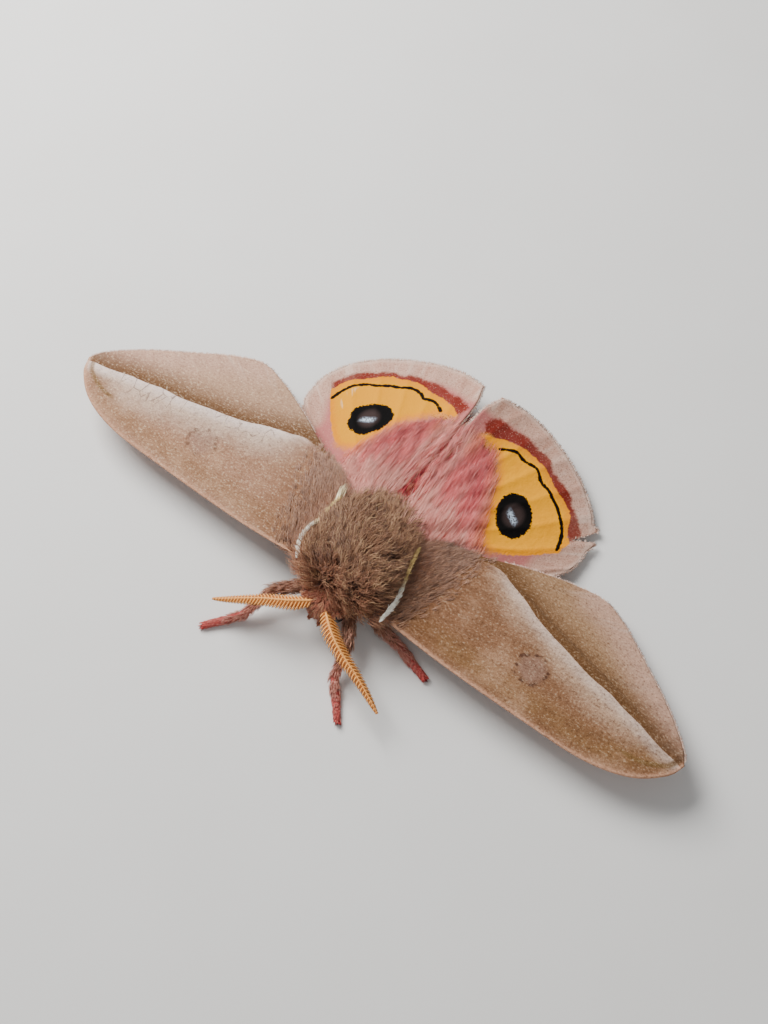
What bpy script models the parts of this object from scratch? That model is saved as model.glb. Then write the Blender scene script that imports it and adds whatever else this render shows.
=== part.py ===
"""A male silk moth of the eyed kind, life size, at rest with its hindwings shown.

Metres, +Z up. The head points to -Y, the moth's left side is +X, and z = 0 is the floor it stands on.
Every piece is placed from the named sizes below, in millimetres times MM.
"""

import math
import random

import bmesh
import bpy
import numpy as np
from mathutils import Vector

MM = 0.001
# Neighbours keep GAP between them. A space cut out of the coat starts CORE_LEFT above the thorax's core.
GAP = 0.3
CORE_LEFT = 0.06
# Points of one curve cap that lie closer than this, in metres, are one point.
WELD = 1e-6
MIRROR = {"left": 1, "right": -1}

# The whole moth is moved so that its box stands centred on the origin.
PLACE_IN_ROW = Vector((0.55, -5.87, 0.0)) * MM

# Thorax core and head, as sections at y: y, half width, underside z, top z.
THORAX = [(-5.6, 2.4, 3.6, 5.6), (-5.1, 4.1, 2.8, 6.8), (-4.2, 5.1, 2.2, 8.0),
          (-2.4, 5.6, 1.9, 8.8), (0.4, 5.4, 1.8, 9.1), (3.4, 4.9, 1.8, 8.7),
          (6.0, 3.9, 2.0, 7.6), (7.8, 2.6, 2.5, 6.3), (8.7, 1.2, 3.2, 5.0)]
THORAX_SIDES, THORAX_RINGS = 30, 17
HEAD = [(-8.0, 0.8, 2.7, 4.1), (-7.5, 1.4, 2.1, 4.8), (-6.7, 1.9, 1.8, 5.3),
        (-5.6, 2.0, 1.8, 5.4), (-4.2, 1.8, 2.0, 5.2)]
HEAD_SIDES, HEAD_RINGS = 18, 9
# Sections are superellipses of this power: a little fuller than round.
POWER = 2.25

# The thorax's coat: flat locks in rows round the core. Each row has its y, its first and last angle
# with 90 degrees on top, and how far its locks lie along y.
COAT_ROWS = [(-4.7, 25, 155, -2.3), (-4.0, 8, 172, 2.6), (-2.7, 12, 168, 3.4), (-1.3, 8, 172, 3.6),
             (0.1, 12, 168, 3.6), (1.5, 8, 172, 3.6), (2.9, 12, 168, 3.6), (4.3, 0, 180, 3.4),
             (5.6, -20, 200, 3.2), (6.8, -20, 200, 2.9)]
# Each lock's stations: share of its length, half width, half thickness, height over the core.
LOCK_STATIONS = [(0.0, 0.5, 0.25, -0.5), (0.34, 0.78, 0.30, 0.4), (0.7, 0.58, 0.25, 0.9)]
LOCK_TIP_HEIGHT, LOCK_SPACING = 1.2, 1.72
SEED = 7

ABDOMEN_START, ABDOMEN_END = 7.4, 23.2
ABDOMEN_FRONT_Z, ABDOMEN_TAIL_Z = 2.9, 2.25
# The abdomen's radius at shares of its length, wider than high by these two factors.
ABDOMEN_RADIUS = [(0.0, 2.35), (0.2, 2.55), (0.45, 2.5), (0.7, 2.05), (0.88, 1.35), (0.97, 0.8), (1.0, 0.35)]
ABDOMEN_WIDE, ABDOMEN_HIGH = 1.08, 0.95
ABDOMEN_SEGMENTS, SEGMENT_DEPTH = 7, 0.14
ABDOMEN_SIDES, ABDOMEN_RINGS = 18, 29
# The space that the abdomen's front keeps clear of the coat, as sections like the thorax's.
ABDOMEN_CLEAR = [(7.4, 2.55, 0.65, 5.15), (9.0, 2.7, 0.5, 5.3), (11.0, 2.9, 0.3, 5.35)]
# Locks of the tail: each station is y from the abdomen's end and distance from its middle.
TAIL_LOCKS, TAIL_LOCK_REACH, TAIL_TIP_OUT = 9, 1.3, 0.5
TAIL_PLACES = [(-1.9, 0.8), (-1.0, 1.1), (-0.2, 0.9)]
TAIL_STATIONS = [(0.0, 0.34, 0.25, 0), (0.4, 0.4, 0.27, 0), (0.7, 0.34, 0.25, 0)]

EYE_RADIUS, EYE_PLACE = 0.9, (2.0, -6.6, 3.6)
PALP_ROOT, PALP_TIP = (0.6, -7.4, 2.5), (0.7, -8.8, 1.9)
# Each palp's stations: share of its length and radius.
PALP_STATIONS = [(0.0, 0.42), (0.35, 0.42), (0.7, 0.36), (0.93, 0.25), (1.0, 0.12)]

# Wing outlines of the left side seen from above, as x, y landmarks: along the front edge, down the
# outer margin, along the rear edge and across the root. Veins are shares of the way from front to rear.
WING_THICKNESS = 0.5
VEIN_RISE, VEIN_HALF_WIDTH = 0.24, 0.42
SPACE_THICKNESS = WING_THICKNESS + 2 * (GAP + VEIN_RISE)
FOREWING = {
    "front": [(3.6, -3.4), (5.6, -4.0), (14.4, -4.4), (26.0, -4.2),
              (33.5, -3.8), (38.6, -2.3), (41.7, 0.2), (42.6, 2.2)],
    "outer": [(42.6, 2.2), (41.2, 4.0), (37.8, 6.9), (33.0, 9.9), (28.6, 12.3), (25.6, 13.6)],
    "rear": [(3.4, 3.9), (5.4, 5.0), (8.7, 7.4), (12.4, 9.1), (16.2, 10.9), (20.4, 12.5), (25.6, 13.6)],
    "root": [(3.6, -3.4), (4.0, 0.4), (3.4, 3.9)],
    "veins": [0.07, 0.16, 0.25, 0.36, 0.47, 0.58, 0.7, 0.81, 0.92],
    "rows": 11,
}
HINDWING = {
    "front": [(2.6, 3.4), (4.8, 3.9), (9.4, 5.9), (14.4, 8.4), (18.4, 12.2)],
    "outer": [(18.4, 12.2), (19.8, 15.2), (19.7, 18.9), (17.8, 22.3),
              (13.8, 25.3), (9.0, 27.2), (4.8, 27.8), (1.5, 27.2)],
    "rear": [(1.6, 6.2), (1.2, 9.0), (0.7, 13.0), (0.5, 19.0), (0.6, 24.0), (1.5, 27.2)],
    "root": [(2.6, 3.4), (2.2, 5.0), (1.6, 6.2)],
    "veins": [0.1, 0.24, 0.37, 0.5, 0.63, 0.76, 0.89],
    "rows": 12,
}
# The pale line across the forewing is a fold, straight from the apex and bent down past FOLD_BEND_X.
FOLD_APEX, FOLD_SLOPE, FOLD_BEND_X, FOLD_BEND = (42.5, 2.2), 0.195, 21.0, (0.09, 0.022)
FOLD_RISE, FOLD_BACK_WIDTH, FOLD_FRONT_WIDTH = 0.85, 1.0, 6.5
FORE_ROOT_X, FORE_REACH = 5.0, 37.0
FORE_ROOT_Z, FORE_TIP_Z = 5.15, 4.35
FORE_DROOP_BEHIND, FORE_DROOP_FRONT = 0.34, 0.05
# The hindwing arches over the abdomen, slopes to its side and tail, and dips under the forewing.
HIND_MIDLINE_Z, HIND_ARCH, HIND_ARCH_X = 6.3, 0.4, 2.5
HIND_SLOPE_X, HIND_SLOPE_Y, HIND_LEVEL_Y, HIND_DIP, HIND_DIP_SHARE = 0.235, 0.075, 10.0, 1.0, 0.4
# How each wing is held: reach along x as a share, sweep towards the head in degrees, and how far it is
# spread behind its fold, as a share of y and of its droop there.
FOREWING_HELD = {"left": (0.984, 0.8, 1.0, 1.0), "right": (1.010, 0.5, 1.13, 0.7)}
HINDWING_HELD = {"left": (1.0, 0.0, 1.0, 1.0), "right": (0.975, 0.0, 1.0, 1.0)}

# Antenna shafts, from the root to the tip.
ANTENNAE = {
    "left": [(0.7, -7.0, 4.7), (3.2, -9.0, 5.1), (5.6, -10.2, 4.8),
             (7.9, -11.0, 4.4), (10.2, -11.9, 3.8), (12.4, -12.9, 3.2)],
    "right": [(-0.7, -7.0, 4.7), (-2.9, -8.8, 5.1), (-5.4, -10.2, 4.8),
              (-7.3, -11.4, 4.4), (-9.0, -12.4, 3.8), (-10.6, -13.3, 3.2)],
}
SHAFT_RADIUS, SHAFT_TIP_RADIUS, SHAFT_POINTS = 0.3, 0.17, 18
COMB_PAIRS, COMB_FIRST, COMB_LAST = 15, 0.15, 0.955
COMB_LENGTH, COMB_LEAST_LENGTH, COMB_RADIUS, COMB_TIP_RADIUS = 1.55, 0.25, 0.25, 0.07
# Directions of a comb branch's two halves: sideways, ahead and down.
COMB_DIRECTIONS = [(0.9, 0.35, 0.2), (0.75, 0.65, 0.4)]

# Leg joints: root in the thorax, knee, ankle, toe. The feet lie on the floor, pressed flat there.
LEGS = {
    "leg_fore_left": [(2.1, -4.0, 1.9), (4.8, -8.2, 2.7), (5.7, -12.0, 1.0), (8.9, -15.6, 0.3)],
    "leg_fore_right": [(-2.1, -4.0, 2.0), (-5.9, -8.3, 2.9), (-7.2, -12.1, 1.0), (-10.4, -15.9, 0.3)],
    "leg_mid_left": [(3.2, -2.4, 2.3), (6.6, -4.6, 2.7), (9.6, -4.7, 1.0), (13.7, -5.8, 0.3)],
    "leg_mid_right": [(-3.2, -1.4, 2.3), (-6.6, -2.2, 2.7), (-9.4, -1.2, 1.0), (-13.2, -0.4, 0.3)],
    "leg_hind_left": [(3.0, 2.6, 2.1), (5.8, 5.2, 2.3), (7.6, 8.6, 1.0), (9.6, 12.2, 0.3)],
    "leg_hind_right": [(-3.0, 2.6, 2.1), (-5.9, 5.0, 2.3), (-7.9, 8.2, 1.0), (-10.2, 11.6, 0.3)],
}
# Stations along thigh, shin and foot: share of the way to the next joint, and radius.
THIGH = [(0.0, 0.8), (0.5, 0.8), (0.92, 0.78)]
SHIN = [(0.12, 0.8), (0.55, 0.8), (1.0, 0.62)]
HEEL_SHARE, HEEL_Z = 0.4, 0.42
FOOT = [(0.0, 0.5), (0.5, 0.42), (0.93, 0.45), (1.0, 0.25)]
FLOOR_BLOCK = 120

COLOURS = {
    "brown_fur": ((0.29, 0.17, 0.10, 1.0), 0.95),
    "wing_brown": ((0.36, 0.24, 0.16, 1.0), 0.8),
    "wing_rose": ((0.62, 0.24, 0.22, 1.0), 0.8),
    "antenna_orange": ((0.72, 0.36, 0.08, 1.0), 0.6),
    "leg_red": ((0.50, 0.14, 0.11, 1.0), 0.85),
    "eye_dark": ((0.02, 0.02, 0.03, 1.0), 0.15),
}


def clear_scene():
    for obj in list(bpy.data.objects):
        bpy.data.objects.remove(obj)


def material(slot):
    """The Principled material of one kind of surface, made once."""
    found = bpy.data.materials.get(slot)
    if found:
        return found
    colour, roughness = COLOURS[slot]
    made = bpy.data.materials.new(slot)
    made.use_nodes = True
    shader = made.node_tree.nodes["Principled BSDF"]
    shader.inputs["Base Color"].default_value = colour
    shader.inputs["Roughness"].default_value = roughness
    return made


def smooth_path(points, count):
    """count points at even length along a Catmull-Rom curve through points."""
    p = np.array(points, float)
    ends = np.vstack([2 * p[0] - p[1], p, 2 * p[-1] - p[-2]])
    fine = []
    for a, b, c, d in zip(ends, ends[1:], ends[2:], ends[3:]):
        for t in np.linspace(0, 1, 24, endpoint=False):
            bend = (2 * a - 5 * b + 4 * c - d) * t**2 + (3 * b - 3 * c + d - a) * t**3
            fine.append(0.5 * (2 * b + (c - a) * t + bend))
    fine = np.array(fine + [p[-1]])
    run = np.r_[0, np.cumsum(np.linalg.norm(np.diff(fine, axis=0), axis=1))]
    even = np.linspace(0, run[-1], count)
    return np.stack([np.interp(even, run, fine[:, k]) for k in range(p.shape[1])], -1)


def new_object(name, points_mm, faces, collection):
    """A mesh object from points in millimetres, with its faces turned outwards."""
    mesh = bpy.data.meshes.new(name)
    mesh.from_pydata([Vector(p) * MM for p in points_mm], [], faces)
    shape = bmesh.new()
    shape.from_mesh(mesh)
    bmesh.ops.recalc_face_normals(shape, faces=shape.faces)
    shape.to_mesh(mesh)
    shape.free()
    obj = bpy.data.objects.new(name, mesh)
    collection.objects.link(obj)
    return obj


def tube_of_rings(rings):
    """Points and faces of a closed tube through rings of equal count, with a flat cap at each end."""
    sides = len(rings[0])
    points = [p for ring in rings for p in ring]
    faces = [list(range(sides))]
    for r in range(len(rings) - 1):
        for k in range(sides):
            a, b = r * sides + k, r * sides + (k + 1) % sides
            faces.append([a, b, b + sides, a + sides])
    last = (len(rings) - 1) * sides
    faces.append([last + k for k in reversed(range(sides))])
    return points, faces


def loft_rings(stations, rings, sides, grow=0.0):
    """Superellipse sections across y through the stations, each grown outwards by grow."""
    path = smooth_path(stations, rings)
    reach = np.linspace(-1, 1, rings)
    made = []
    for (y, half, low, high), end in zip(path, reach):
        middle, rise = (low + high) / 2, (high - low) / 2 + grow
        ring = []
        for k in range(sides):
            a = 2 * math.pi * k / sides
            c, s = math.cos(a), math.sin(a)
            x = (half + grow) * math.copysign(abs(c) ** (2 / POWER), c)
            z = middle + rise * math.copysign(abs(s) ** (2 / POWER), s)
            ring.append((x, y + grow * end, z))
        made.append(ring)
    return made


def thorax_point(y, angle, off=0.0):
    """A point off the thorax's core at y, with angle 90 degrees on top, moved out by off."""
    path = smooth_path(THORAX, 60)
    half, low, high = (np.interp(y, path[:, 0], path[:, k]) for k in (1, 2, 3))
    c, s = math.cos(math.radians(angle)), math.sin(math.radians(angle))
    x = (half + off) * math.copysign(abs(c) ** (2 / POWER), c)
    z = (low + high) / 2 + ((high - low) / 2 + off) * math.copysign(abs(s) ** (2 / POWER), s)
    return Vector((x, y, z))


def fold_line(x):
    """y of the forewing's fold at x: straight from the apex, then rounded down to the inner edge."""
    inside = max(0.0, FOLD_BEND_X - x)
    return FOLD_APEX[1] + FOLD_SLOPE * (FOLD_APEX[0] - x) + FOLD_BEND[0] * inside - FOLD_BEND[1] * inside**2


def forewing_height(x, y, out, across, droops):
    """z of the forewing's middle surface: nearly level, raised along its fold and let down behind it."""
    along = min(1.0, max(0.0, (x - FORE_ROOT_X) / FORE_REACH))
    before = fold_line(x) - y
    width = FOLD_FRONT_WIDTH if before > 0 else FOLD_BACK_WIDTH
    share = max(0.0, 1 - abs(before) / width)
    crest = FOLD_RISE * math.sin(math.pi * (0.12 + 0.88 * along)) ** 0.6
    droop = droops * FORE_DROOP_BEHIND * max(0.0, -before - FOLD_BACK_WIDTH)
    droop += FORE_DROOP_FRONT * max(0.0, before - FOLD_FRONT_WIDTH)
    return FORE_ROOT_Z + (FORE_TIP_Z - FORE_ROOT_Z) * along + crest * share * share * (3 - 2 * share) - droop


def hindwing_height(x, y, out, across, droops):
    """z of the hindwing's middle surface."""
    arch = HIND_ARCH * math.exp(-((x / HIND_ARCH_X) ** 2))
    dip = HIND_DIP * (1 - out) * max(0.0, 1 - across / HIND_DIP_SHARE) ** 2
    return HIND_MIDLINE_Z + arch - HIND_SLOPE_X * x - HIND_SLOPE_Y * max(0.0, y - HIND_LEVEL_Y) - dip


def coons(wing, out, across):
    """The plan point of a wing at out, root to margin, and across, front edge to rear edge."""
    front, rear, outer, root = wing["front_fine"], wing["rear_fine"], wing["outer_fine"], wing["root_fine"]

    def at(curve, share):
        place = share * (len(curve) - 1)
        i = min(int(place), len(curve) - 2)
        return curve[i] + (curve[i + 1] - curve[i]) * (place - i)

    edges = (1 - across) * at(front, out) + across * at(rear, out)
    edges += (1 - out) * at(root, across) + out * at(outer, across)
    corners = ((1 - out) * ((1 - across) * front[0] + across * rear[0])
               + out * ((1 - across) * front[-1] + across * rear[-1]))
    return edges - corners


def vein_columns(wing, out):
    """Pairs of (across, rise) for a row of the wing: each vein has a crest between two feet."""
    width = np.linalg.norm(coons(wing, out, 1.0) - coons(wing, out, 0.0))
    spacing = min(np.diff([0.0] + wing["veins"] + [1.0]))
    foot = min(VEIN_HALF_WIDTH / width, 0.36 * spacing)
    rise = VEIN_RISE * min(1.0, foot * width / VEIN_HALF_WIDTH) * (1 - 0.5 * out)
    columns = [(0.0, 0.0)]
    for across in wing["veins"]:
        columns += [(across - foot, 0.0), (across, rise), (across + foot, 0.0)]
    return columns + [(1.0, 0.0)]


def plain_columns(wing, out):
    """A row of the wing with no veins, for the space that it keeps clear."""
    return [(across, 0.0) for across in np.linspace(0, 1, 7)]


def make_wing(name, wing, columns_of, height, side, held, thickness, collection):
    """A thin wing from a grid whose points lie on its veins and between them, thickened both ways."""
    reach, sweep, spread, droops = held
    turn = math.radians(sweep)
    rows, columns = wing["rows"] + 1, len(columns_of(wing, 0.0))
    shape = bmesh.new()
    bmesh.ops.create_grid(shape, x_segments=columns - 1, y_segments=rows - 1, size=1)
    shape.verts.ensure_lookup_table()
    grid = sorted(shape.verts, key=lambda v: (round(v.co.y, 4), round(v.co.x, 4)))
    for row in range(rows):
        out = row / (rows - 1)
        for column, (across, rise) in enumerate(columns_of(wing, out)):
            x, y = coons(wing, out, across)
            z = height(x, y, out, across, droops) + rise
            x, y = x * reach, y + (spread - 1) * max(0.0, y - fold_line(x))
            x, y = x * math.cos(turn) + y * math.sin(turn), y * math.cos(turn) - x * math.sin(turn)
            grid[row * columns + column].co = Vector((side * x, y, z)) * MM
    bmesh.ops.triangulate(shape, faces=shape.faces)
    bmesh.ops.recalc_face_normals(shape, faces=shape.faces)
    if sum(face.normal.z for face in shape.faces) < 0:
        bmesh.ops.reverse_faces(shape, faces=shape.faces)
    mesh = bpy.data.meshes.new(name)
    shape.to_mesh(mesh)
    shape.free()
    obj = bpy.data.objects.new(name, mesh)
    collection.objects.link(obj)
    wall = obj.modifiers.new("thickness", "SOLIDIFY")
    wall.thickness = thickness * MM
    wall.offset = 0
    apply_modifiers(obj)
    return obj


def curve_tube(name, path, radii, collection, resolution=2):
    """A round tube along path, as thick at each point as radii says, made a mesh with closed ends."""
    curve = bpy.data.curves.new(name, "CURVE")
    curve.dimensions = "3D"
    curve.bevel_depth = MM
    curve.bevel_resolution = resolution
    curve.use_fill_caps = True
    spline = curve.splines.new("POLY")
    spline.points.add(len(path) - 1)
    for point, place, radius in zip(spline.points, path, radii):
        point.co = (*(Vector(place) * MM), 1)
        point.radius = float(radius)
    drawn = bpy.data.objects.new(name + "_curve", curve)
    collection.objects.link(drawn)
    graph = bpy.context.evaluated_depsgraph_get()
    mesh = bpy.data.meshes.new_from_object(drawn.evaluated_get(graph))
    bpy.data.objects.remove(drawn)
    shape = bmesh.new()
    shape.from_mesh(mesh)
    bmesh.ops.remove_doubles(shape, verts=shape.verts, dist=WELD)
    bmesh.ops.recalc_face_normals(shape, faces=shape.faces)
    shape.to_mesh(mesh)
    shape.free()
    obj = bpy.data.objects.new(name, mesh)
    collection.objects.link(obj)
    return obj


def fused(name, core, pieces, collection, solver="EXACT"):
    """core and pieces joined by one Boolean union, applied, with the pieces removed."""
    group = bpy.data.collections.new(name + "_pieces")
    bpy.context.scene.collection.children.link(group)
    for piece in pieces:
        collection.objects.unlink(piece)
        group.objects.link(piece)
    join = core.modifiers.new("join", "BOOLEAN")
    join.operation, join.operand_type = "UNION", "COLLECTION"
    join.solver = solver
    join.collection = group
    apply_modifiers(core)
    for piece in list(group.objects):
        bpy.data.objects.remove(piece)
    bpy.data.collections.remove(group)
    core.name = name
    return core


def cut(obj, cutter, solver="EXACT"):
    """Takes cutter's space out of obj."""
    away = obj.modifiers.new("cut", "BOOLEAN")
    away.solver = solver
    away.operation, away.object = "DIFFERENCE", cutter
    apply_modifiers(obj)
    return obj


def apply_modifiers(obj):
    graph = bpy.context.evaluated_depsgraph_get()
    made = bpy.data.meshes.new_from_object(obj.evaluated_get(graph))
    obj.modifiers.clear()
    obj.data = made


def keep_largest(obj):
    """Keeps the object's largest closed surface and drops sealed hollows and scraps."""
    shape = bmesh.new()
    shape.from_mesh(obj.data)
    left, shells = set(shape.faces), []
    while left:
        grown, shell = [left.pop()], set()
        while grown:
            face = grown.pop()
            shell.add(face)
            for edge in face.edges:
                for other in edge.link_faces:
                    if other in left:
                        left.discard(other)
                        grown.append(other)
        shells.append(shell)
    shells.sort(key=lambda shell: sum(face.calc_area() for face in shell))
    drop = [face for shell in shells[:-1] for face in shell]
    bmesh.ops.delete(shape, geom=drop, context="FACES")
    loose = [v for v in shape.verts if not v.link_faces]
    bmesh.ops.delete(shape, geom=loose, context="VERTS")
    shape.to_mesh(obj.data)
    shape.free()
    return obj


def finish(obj, slot):
    """Colours the piece and shades it smooth."""
    keep_largest(obj)
    obj.data.materials.clear()
    obj.data.materials.append(material(slot))
    obj.data.shade_smooth()
    return obj


def make_lock(centres, outwards, stations, tip, collection):
    """A flat lock through its stations, four sides round, drawn to one tip."""
    rings = []
    for centre, outward, (_, half, thick, _) in zip(centres, outwards, stations):
        side = outward.cross(tip - centres[0]).normalized()
        out = outward * thick
        rings.append([centre + side * half, centre + out, centre - side * half, centre - out])
    rings.append([tip + (point - centres[-1]) * 0.06 for point in rings[-1]])
    return new_object("lock", *tube_of_rings(rings), collection)


def make_thorax(parts, spaces):
    """The core with its coat of locks, cut clear of the wings, the head and the abdomen."""
    rng = random.Random(SEED)
    core = new_object("thorax", *tube_of_rings(loft_rings(THORAX, THORAX_RINGS, THORAX_SIDES)), parts)
    locks = []
    for row, (y, first, last, lie) in enumerate(COAT_ROWS):
        ring = [thorax_point(y, angle) for angle in range(first, last, 3)]
        length = sum((b - a).length for a, b in zip(ring, ring[1:]))
        count = max(4, round(length / LOCK_SPACING))
        for k in range(count):
            angle = first + (last - first) * (k + 0.5 + rng.uniform(-0.12, 0.12)) / count
            reach = lie * rng.uniform(0.88, 1.1)
            turn = rng.uniform(-5, 5)
            places = LOCK_STATIONS + [(1.0, 0, 0, LOCK_TIP_HEIGHT * rng.uniform(0.85, 1.1))]
            centres = [thorax_point(y + reach * share, angle + turn * share, high)
                       for share, _, _, high in places]
            outwards = [(thorax_point(y + reach * share, angle + turn * share, high + 1) - at).normalized()
                        for at, (share, _, _, high) in zip(centres, places)]
            locks.append(make_lock(centres[:-1], outwards[:-1], LOCK_STATIONS, centres[-1], parts))
    thorax = fused("thorax", core, locks, parts, "MANIFOLD")
    for space in spaces:
        cut(thorax, space, "MANIFOLD")
    return finish(thorax, "brown_fur")


def hidden(cutter):
    """Marks an object as a guide that is no part of the moth."""
    cutter.hide_render = True
    cutter.display_type = "WIRE"
    return cutter


def make_cutter(name, stations, rings, sides, grow, collection):
    """The space that a lofted body takes, grown by the gap that touching pieces keep."""
    return hidden(new_object(name, *tube_of_rings(loft_rings(stations, rings, sides, grow)), collection))


def make_floor_space(collection):
    """Everything under the floor, as one large block."""
    bpy.ops.mesh.primitive_cube_add(size=FLOOR_BLOCK * MM, location=(0, 0, -FLOOR_BLOCK / 2 * MM))
    block = bpy.context.object
    block.name = "floor_space"
    for home in list(block.users_collection):
        home.objects.unlink(block)
    collection.objects.link(block)
    return hidden(block)


def make_sphere(name, radius, place, collection):
    shape = bmesh.new()
    bmesh.ops.create_uvsphere(shape, u_segments=14, v_segments=9, radius=radius * MM)
    bmesh.ops.translate(shape, verts=shape.verts, vec=Vector(place) * MM)
    mesh = bpy.data.meshes.new(name)
    shape.to_mesh(mesh)
    shape.free()
    obj = bpy.data.objects.new(name, mesh)
    collection.objects.link(obj)
    return obj


def make_head(parts, helpers, thorax_space):
    head = new_object("head", *tube_of_rings(loft_rings(HEAD, HEAD_RINGS, HEAD_SIDES)), parts)
    cut(head, thorax_space)
    for side, sign in MIRROR.items():
        place = (sign * EYE_PLACE[0], EYE_PLACE[1], EYE_PLACE[2])
        socket = make_sphere("socket_" + side, EYE_RADIUS + GAP, place, helpers)
        cut(head, hidden(socket))
        eye = make_sphere("eye_" + side, EYE_RADIUS, place, parts)
        finish(cut(eye, thorax_space), "eye_dark")
    return finish(head, "brown_fur")


def make_palps(parts, head_space):
    for side, sign in MIRROR.items():
        root, tip = (Vector((sign * p[0], p[1], p[2])) for p in (PALP_ROOT, PALP_TIP))
        path = [root.lerp(tip, share) for share, _ in PALP_STATIONS]
        radii = [radius for _, radius in PALP_STATIONS]
        palp = curve_tube("palp_" + side, path, radii, parts, resolution=3)
        finish(cut(palp, head_space), "leg_red")


def make_abdomen(parts, thorax_space):
    """A tapering body of shallow segments that ends in a tuft of locks."""
    table = smooth_path(ABDOMEN_RADIUS, 60)
    rings = []
    for share in np.linspace(0, 1, ABDOMEN_RINGS):
        radius = np.interp(share, table[:, 0], table[:, 1])
        if share < 0.95:
            radius -= SEGMENT_DEPTH * abs(math.cos(math.pi * share * ABDOMEN_SEGMENTS)) ** 6
        y = ABDOMEN_START + (ABDOMEN_END - ABDOMEN_START) * share
        z = ABDOMEN_FRONT_Z + (ABDOMEN_TAIL_Z - ABDOMEN_FRONT_Z) * share
        angles = [2 * math.pi * k / ABDOMEN_SIDES for k in range(ABDOMEN_SIDES)]
        rings.append([(ABDOMEN_WIDE * radius * math.cos(a), y, z + ABDOMEN_HIGH * radius * math.sin(a))
                      for a in angles])
    abdomen = new_object("abdomen", *tube_of_rings(rings), parts)
    tail = Vector((0, ABDOMEN_END, ABDOMEN_TAIL_Z))
    locks = []
    for k in range(TAIL_LOCKS):
        a = 2 * math.pi * k / TAIL_LOCKS
        outward = Vector((math.cos(a), 0, math.sin(a)))
        places = [tail + Vector((0, run, 0)) + outward * off for run, off in TAIL_PLACES]
        reach = TAIL_LOCK_REACH * (1 - 0.25 * (k % 2))
        tip = tail + Vector((0, reach, 0)) + outward * TAIL_TIP_OUT
        locks.append(make_lock(places, [outward] * len(places), TAIL_STATIONS, tip, parts))
    abdomen = fused("abdomen", abdomen, locks, parts, "MANIFOLD")
    return finish(cut(abdomen, thorax_space), "wing_rose")


def make_antenna(side, parts, head_space):
    """A shaft with a pair of comb branches at each of its segments, shorter towards the tip."""
    path = [Vector(p) for p in smooth_path(ANTENNAE[side], SHAFT_POINTS)]
    shaft_radii = np.linspace(SHAFT_RADIUS, SHAFT_TIP_RADIUS, SHAFT_POINTS)
    shaft = curve_tube("antenna_" + side, path, shaft_radii, parts)
    combs = []
    for share in np.linspace(COMB_FIRST, COMB_LAST, COMB_PAIRS):
        place = share * (SHAFT_POINTS - 1)
        i = int(place)
        root = path[i].lerp(path[i + 1], place - i)
        ahead = (path[i + 1] - path[i]).normalized()
        length = COMB_LENGTH * min(1.0, 0.55 + 3 * share) * (1 - share) ** 0.45 + COMB_LEAST_LENGTH
        thick = COMB_RADIUS * (1 - 0.3 * share)
        for turn in (1, -1):
            sideways = turn * ahead.cross(Vector((0, 0, 1))).normalized()
            places = [root]
            for out, along, down in COMB_DIRECTIONS:
                step = (sideways * out + ahead * along - Vector((0, 0, down))).normalized()
                places.append(places[-1] + step * length * 0.55)
            radii = [thick, thick * 0.85, COMB_TIP_RADIUS]
            combs.append(curve_tube("comb", places, radii, parts, resolution=0))
    antenna = fused("antenna_" + side, shaft, combs, parts)
    return finish(cut(antenna, head_space), "antenna_orange")


def make_leg(name, joints, parts, thorax_space, floor):
    """Thigh, shin and foot as one bent tapering tube, with its foot cut flat on the floor."""
    root, knee, ankle, toe = (Vector(j) for j in joints)
    heel = ankle.lerp(toe, HEEL_SHARE)
    heel.z = HEEL_Z
    stops = []
    for start, end, stations in ((root, knee, THIGH), (knee, ankle, SHIN), (heel, toe, FOOT)):
        stops += [(start.lerp(end, share), radius) for share, radius in stations]
    places, radii = zip(*stops)
    leg = curve_tube(name, places, radii, parts, resolution=3)
    cut(leg, thorax_space)
    return finish(cut(leg, floor), "leg_red")


def make_wings(parts, helpers, thorax_space, core_space):
    """All four wings, and the spaces that they keep clear of the coat outside the thorax's core."""
    spaces = []
    for wing in (FOREWING, HINDWING):
        for edge in ("front", "rear", "outer", "root"):
            wing[edge + "_fine"] = smooth_path(wing[edge], 60)
    for side, sign in MIRROR.items():
        kinds = (("forewing_", FOREWING, forewing_height, FOREWING_HELD[side], "wing_brown"),
                 ("hindwing_", HINDWING, hindwing_height, HINDWING_HELD[side], "wing_rose"))
        for kind, outline, height, held, slot in kinds:
            wing = make_wing(kind + side, outline, vein_columns, height, sign, held, WING_THICKNESS, parts)
            finish(cut(wing, thorax_space), slot)
            kept = make_wing("kept_by_" + wing.name, outline, plain_columns, height, sign, held,
                             SPACE_THICKNESS, helpers)
            spaces.append(hidden(cut(kept, core_space, "MANIFOLD")))
    return spaces


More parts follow.
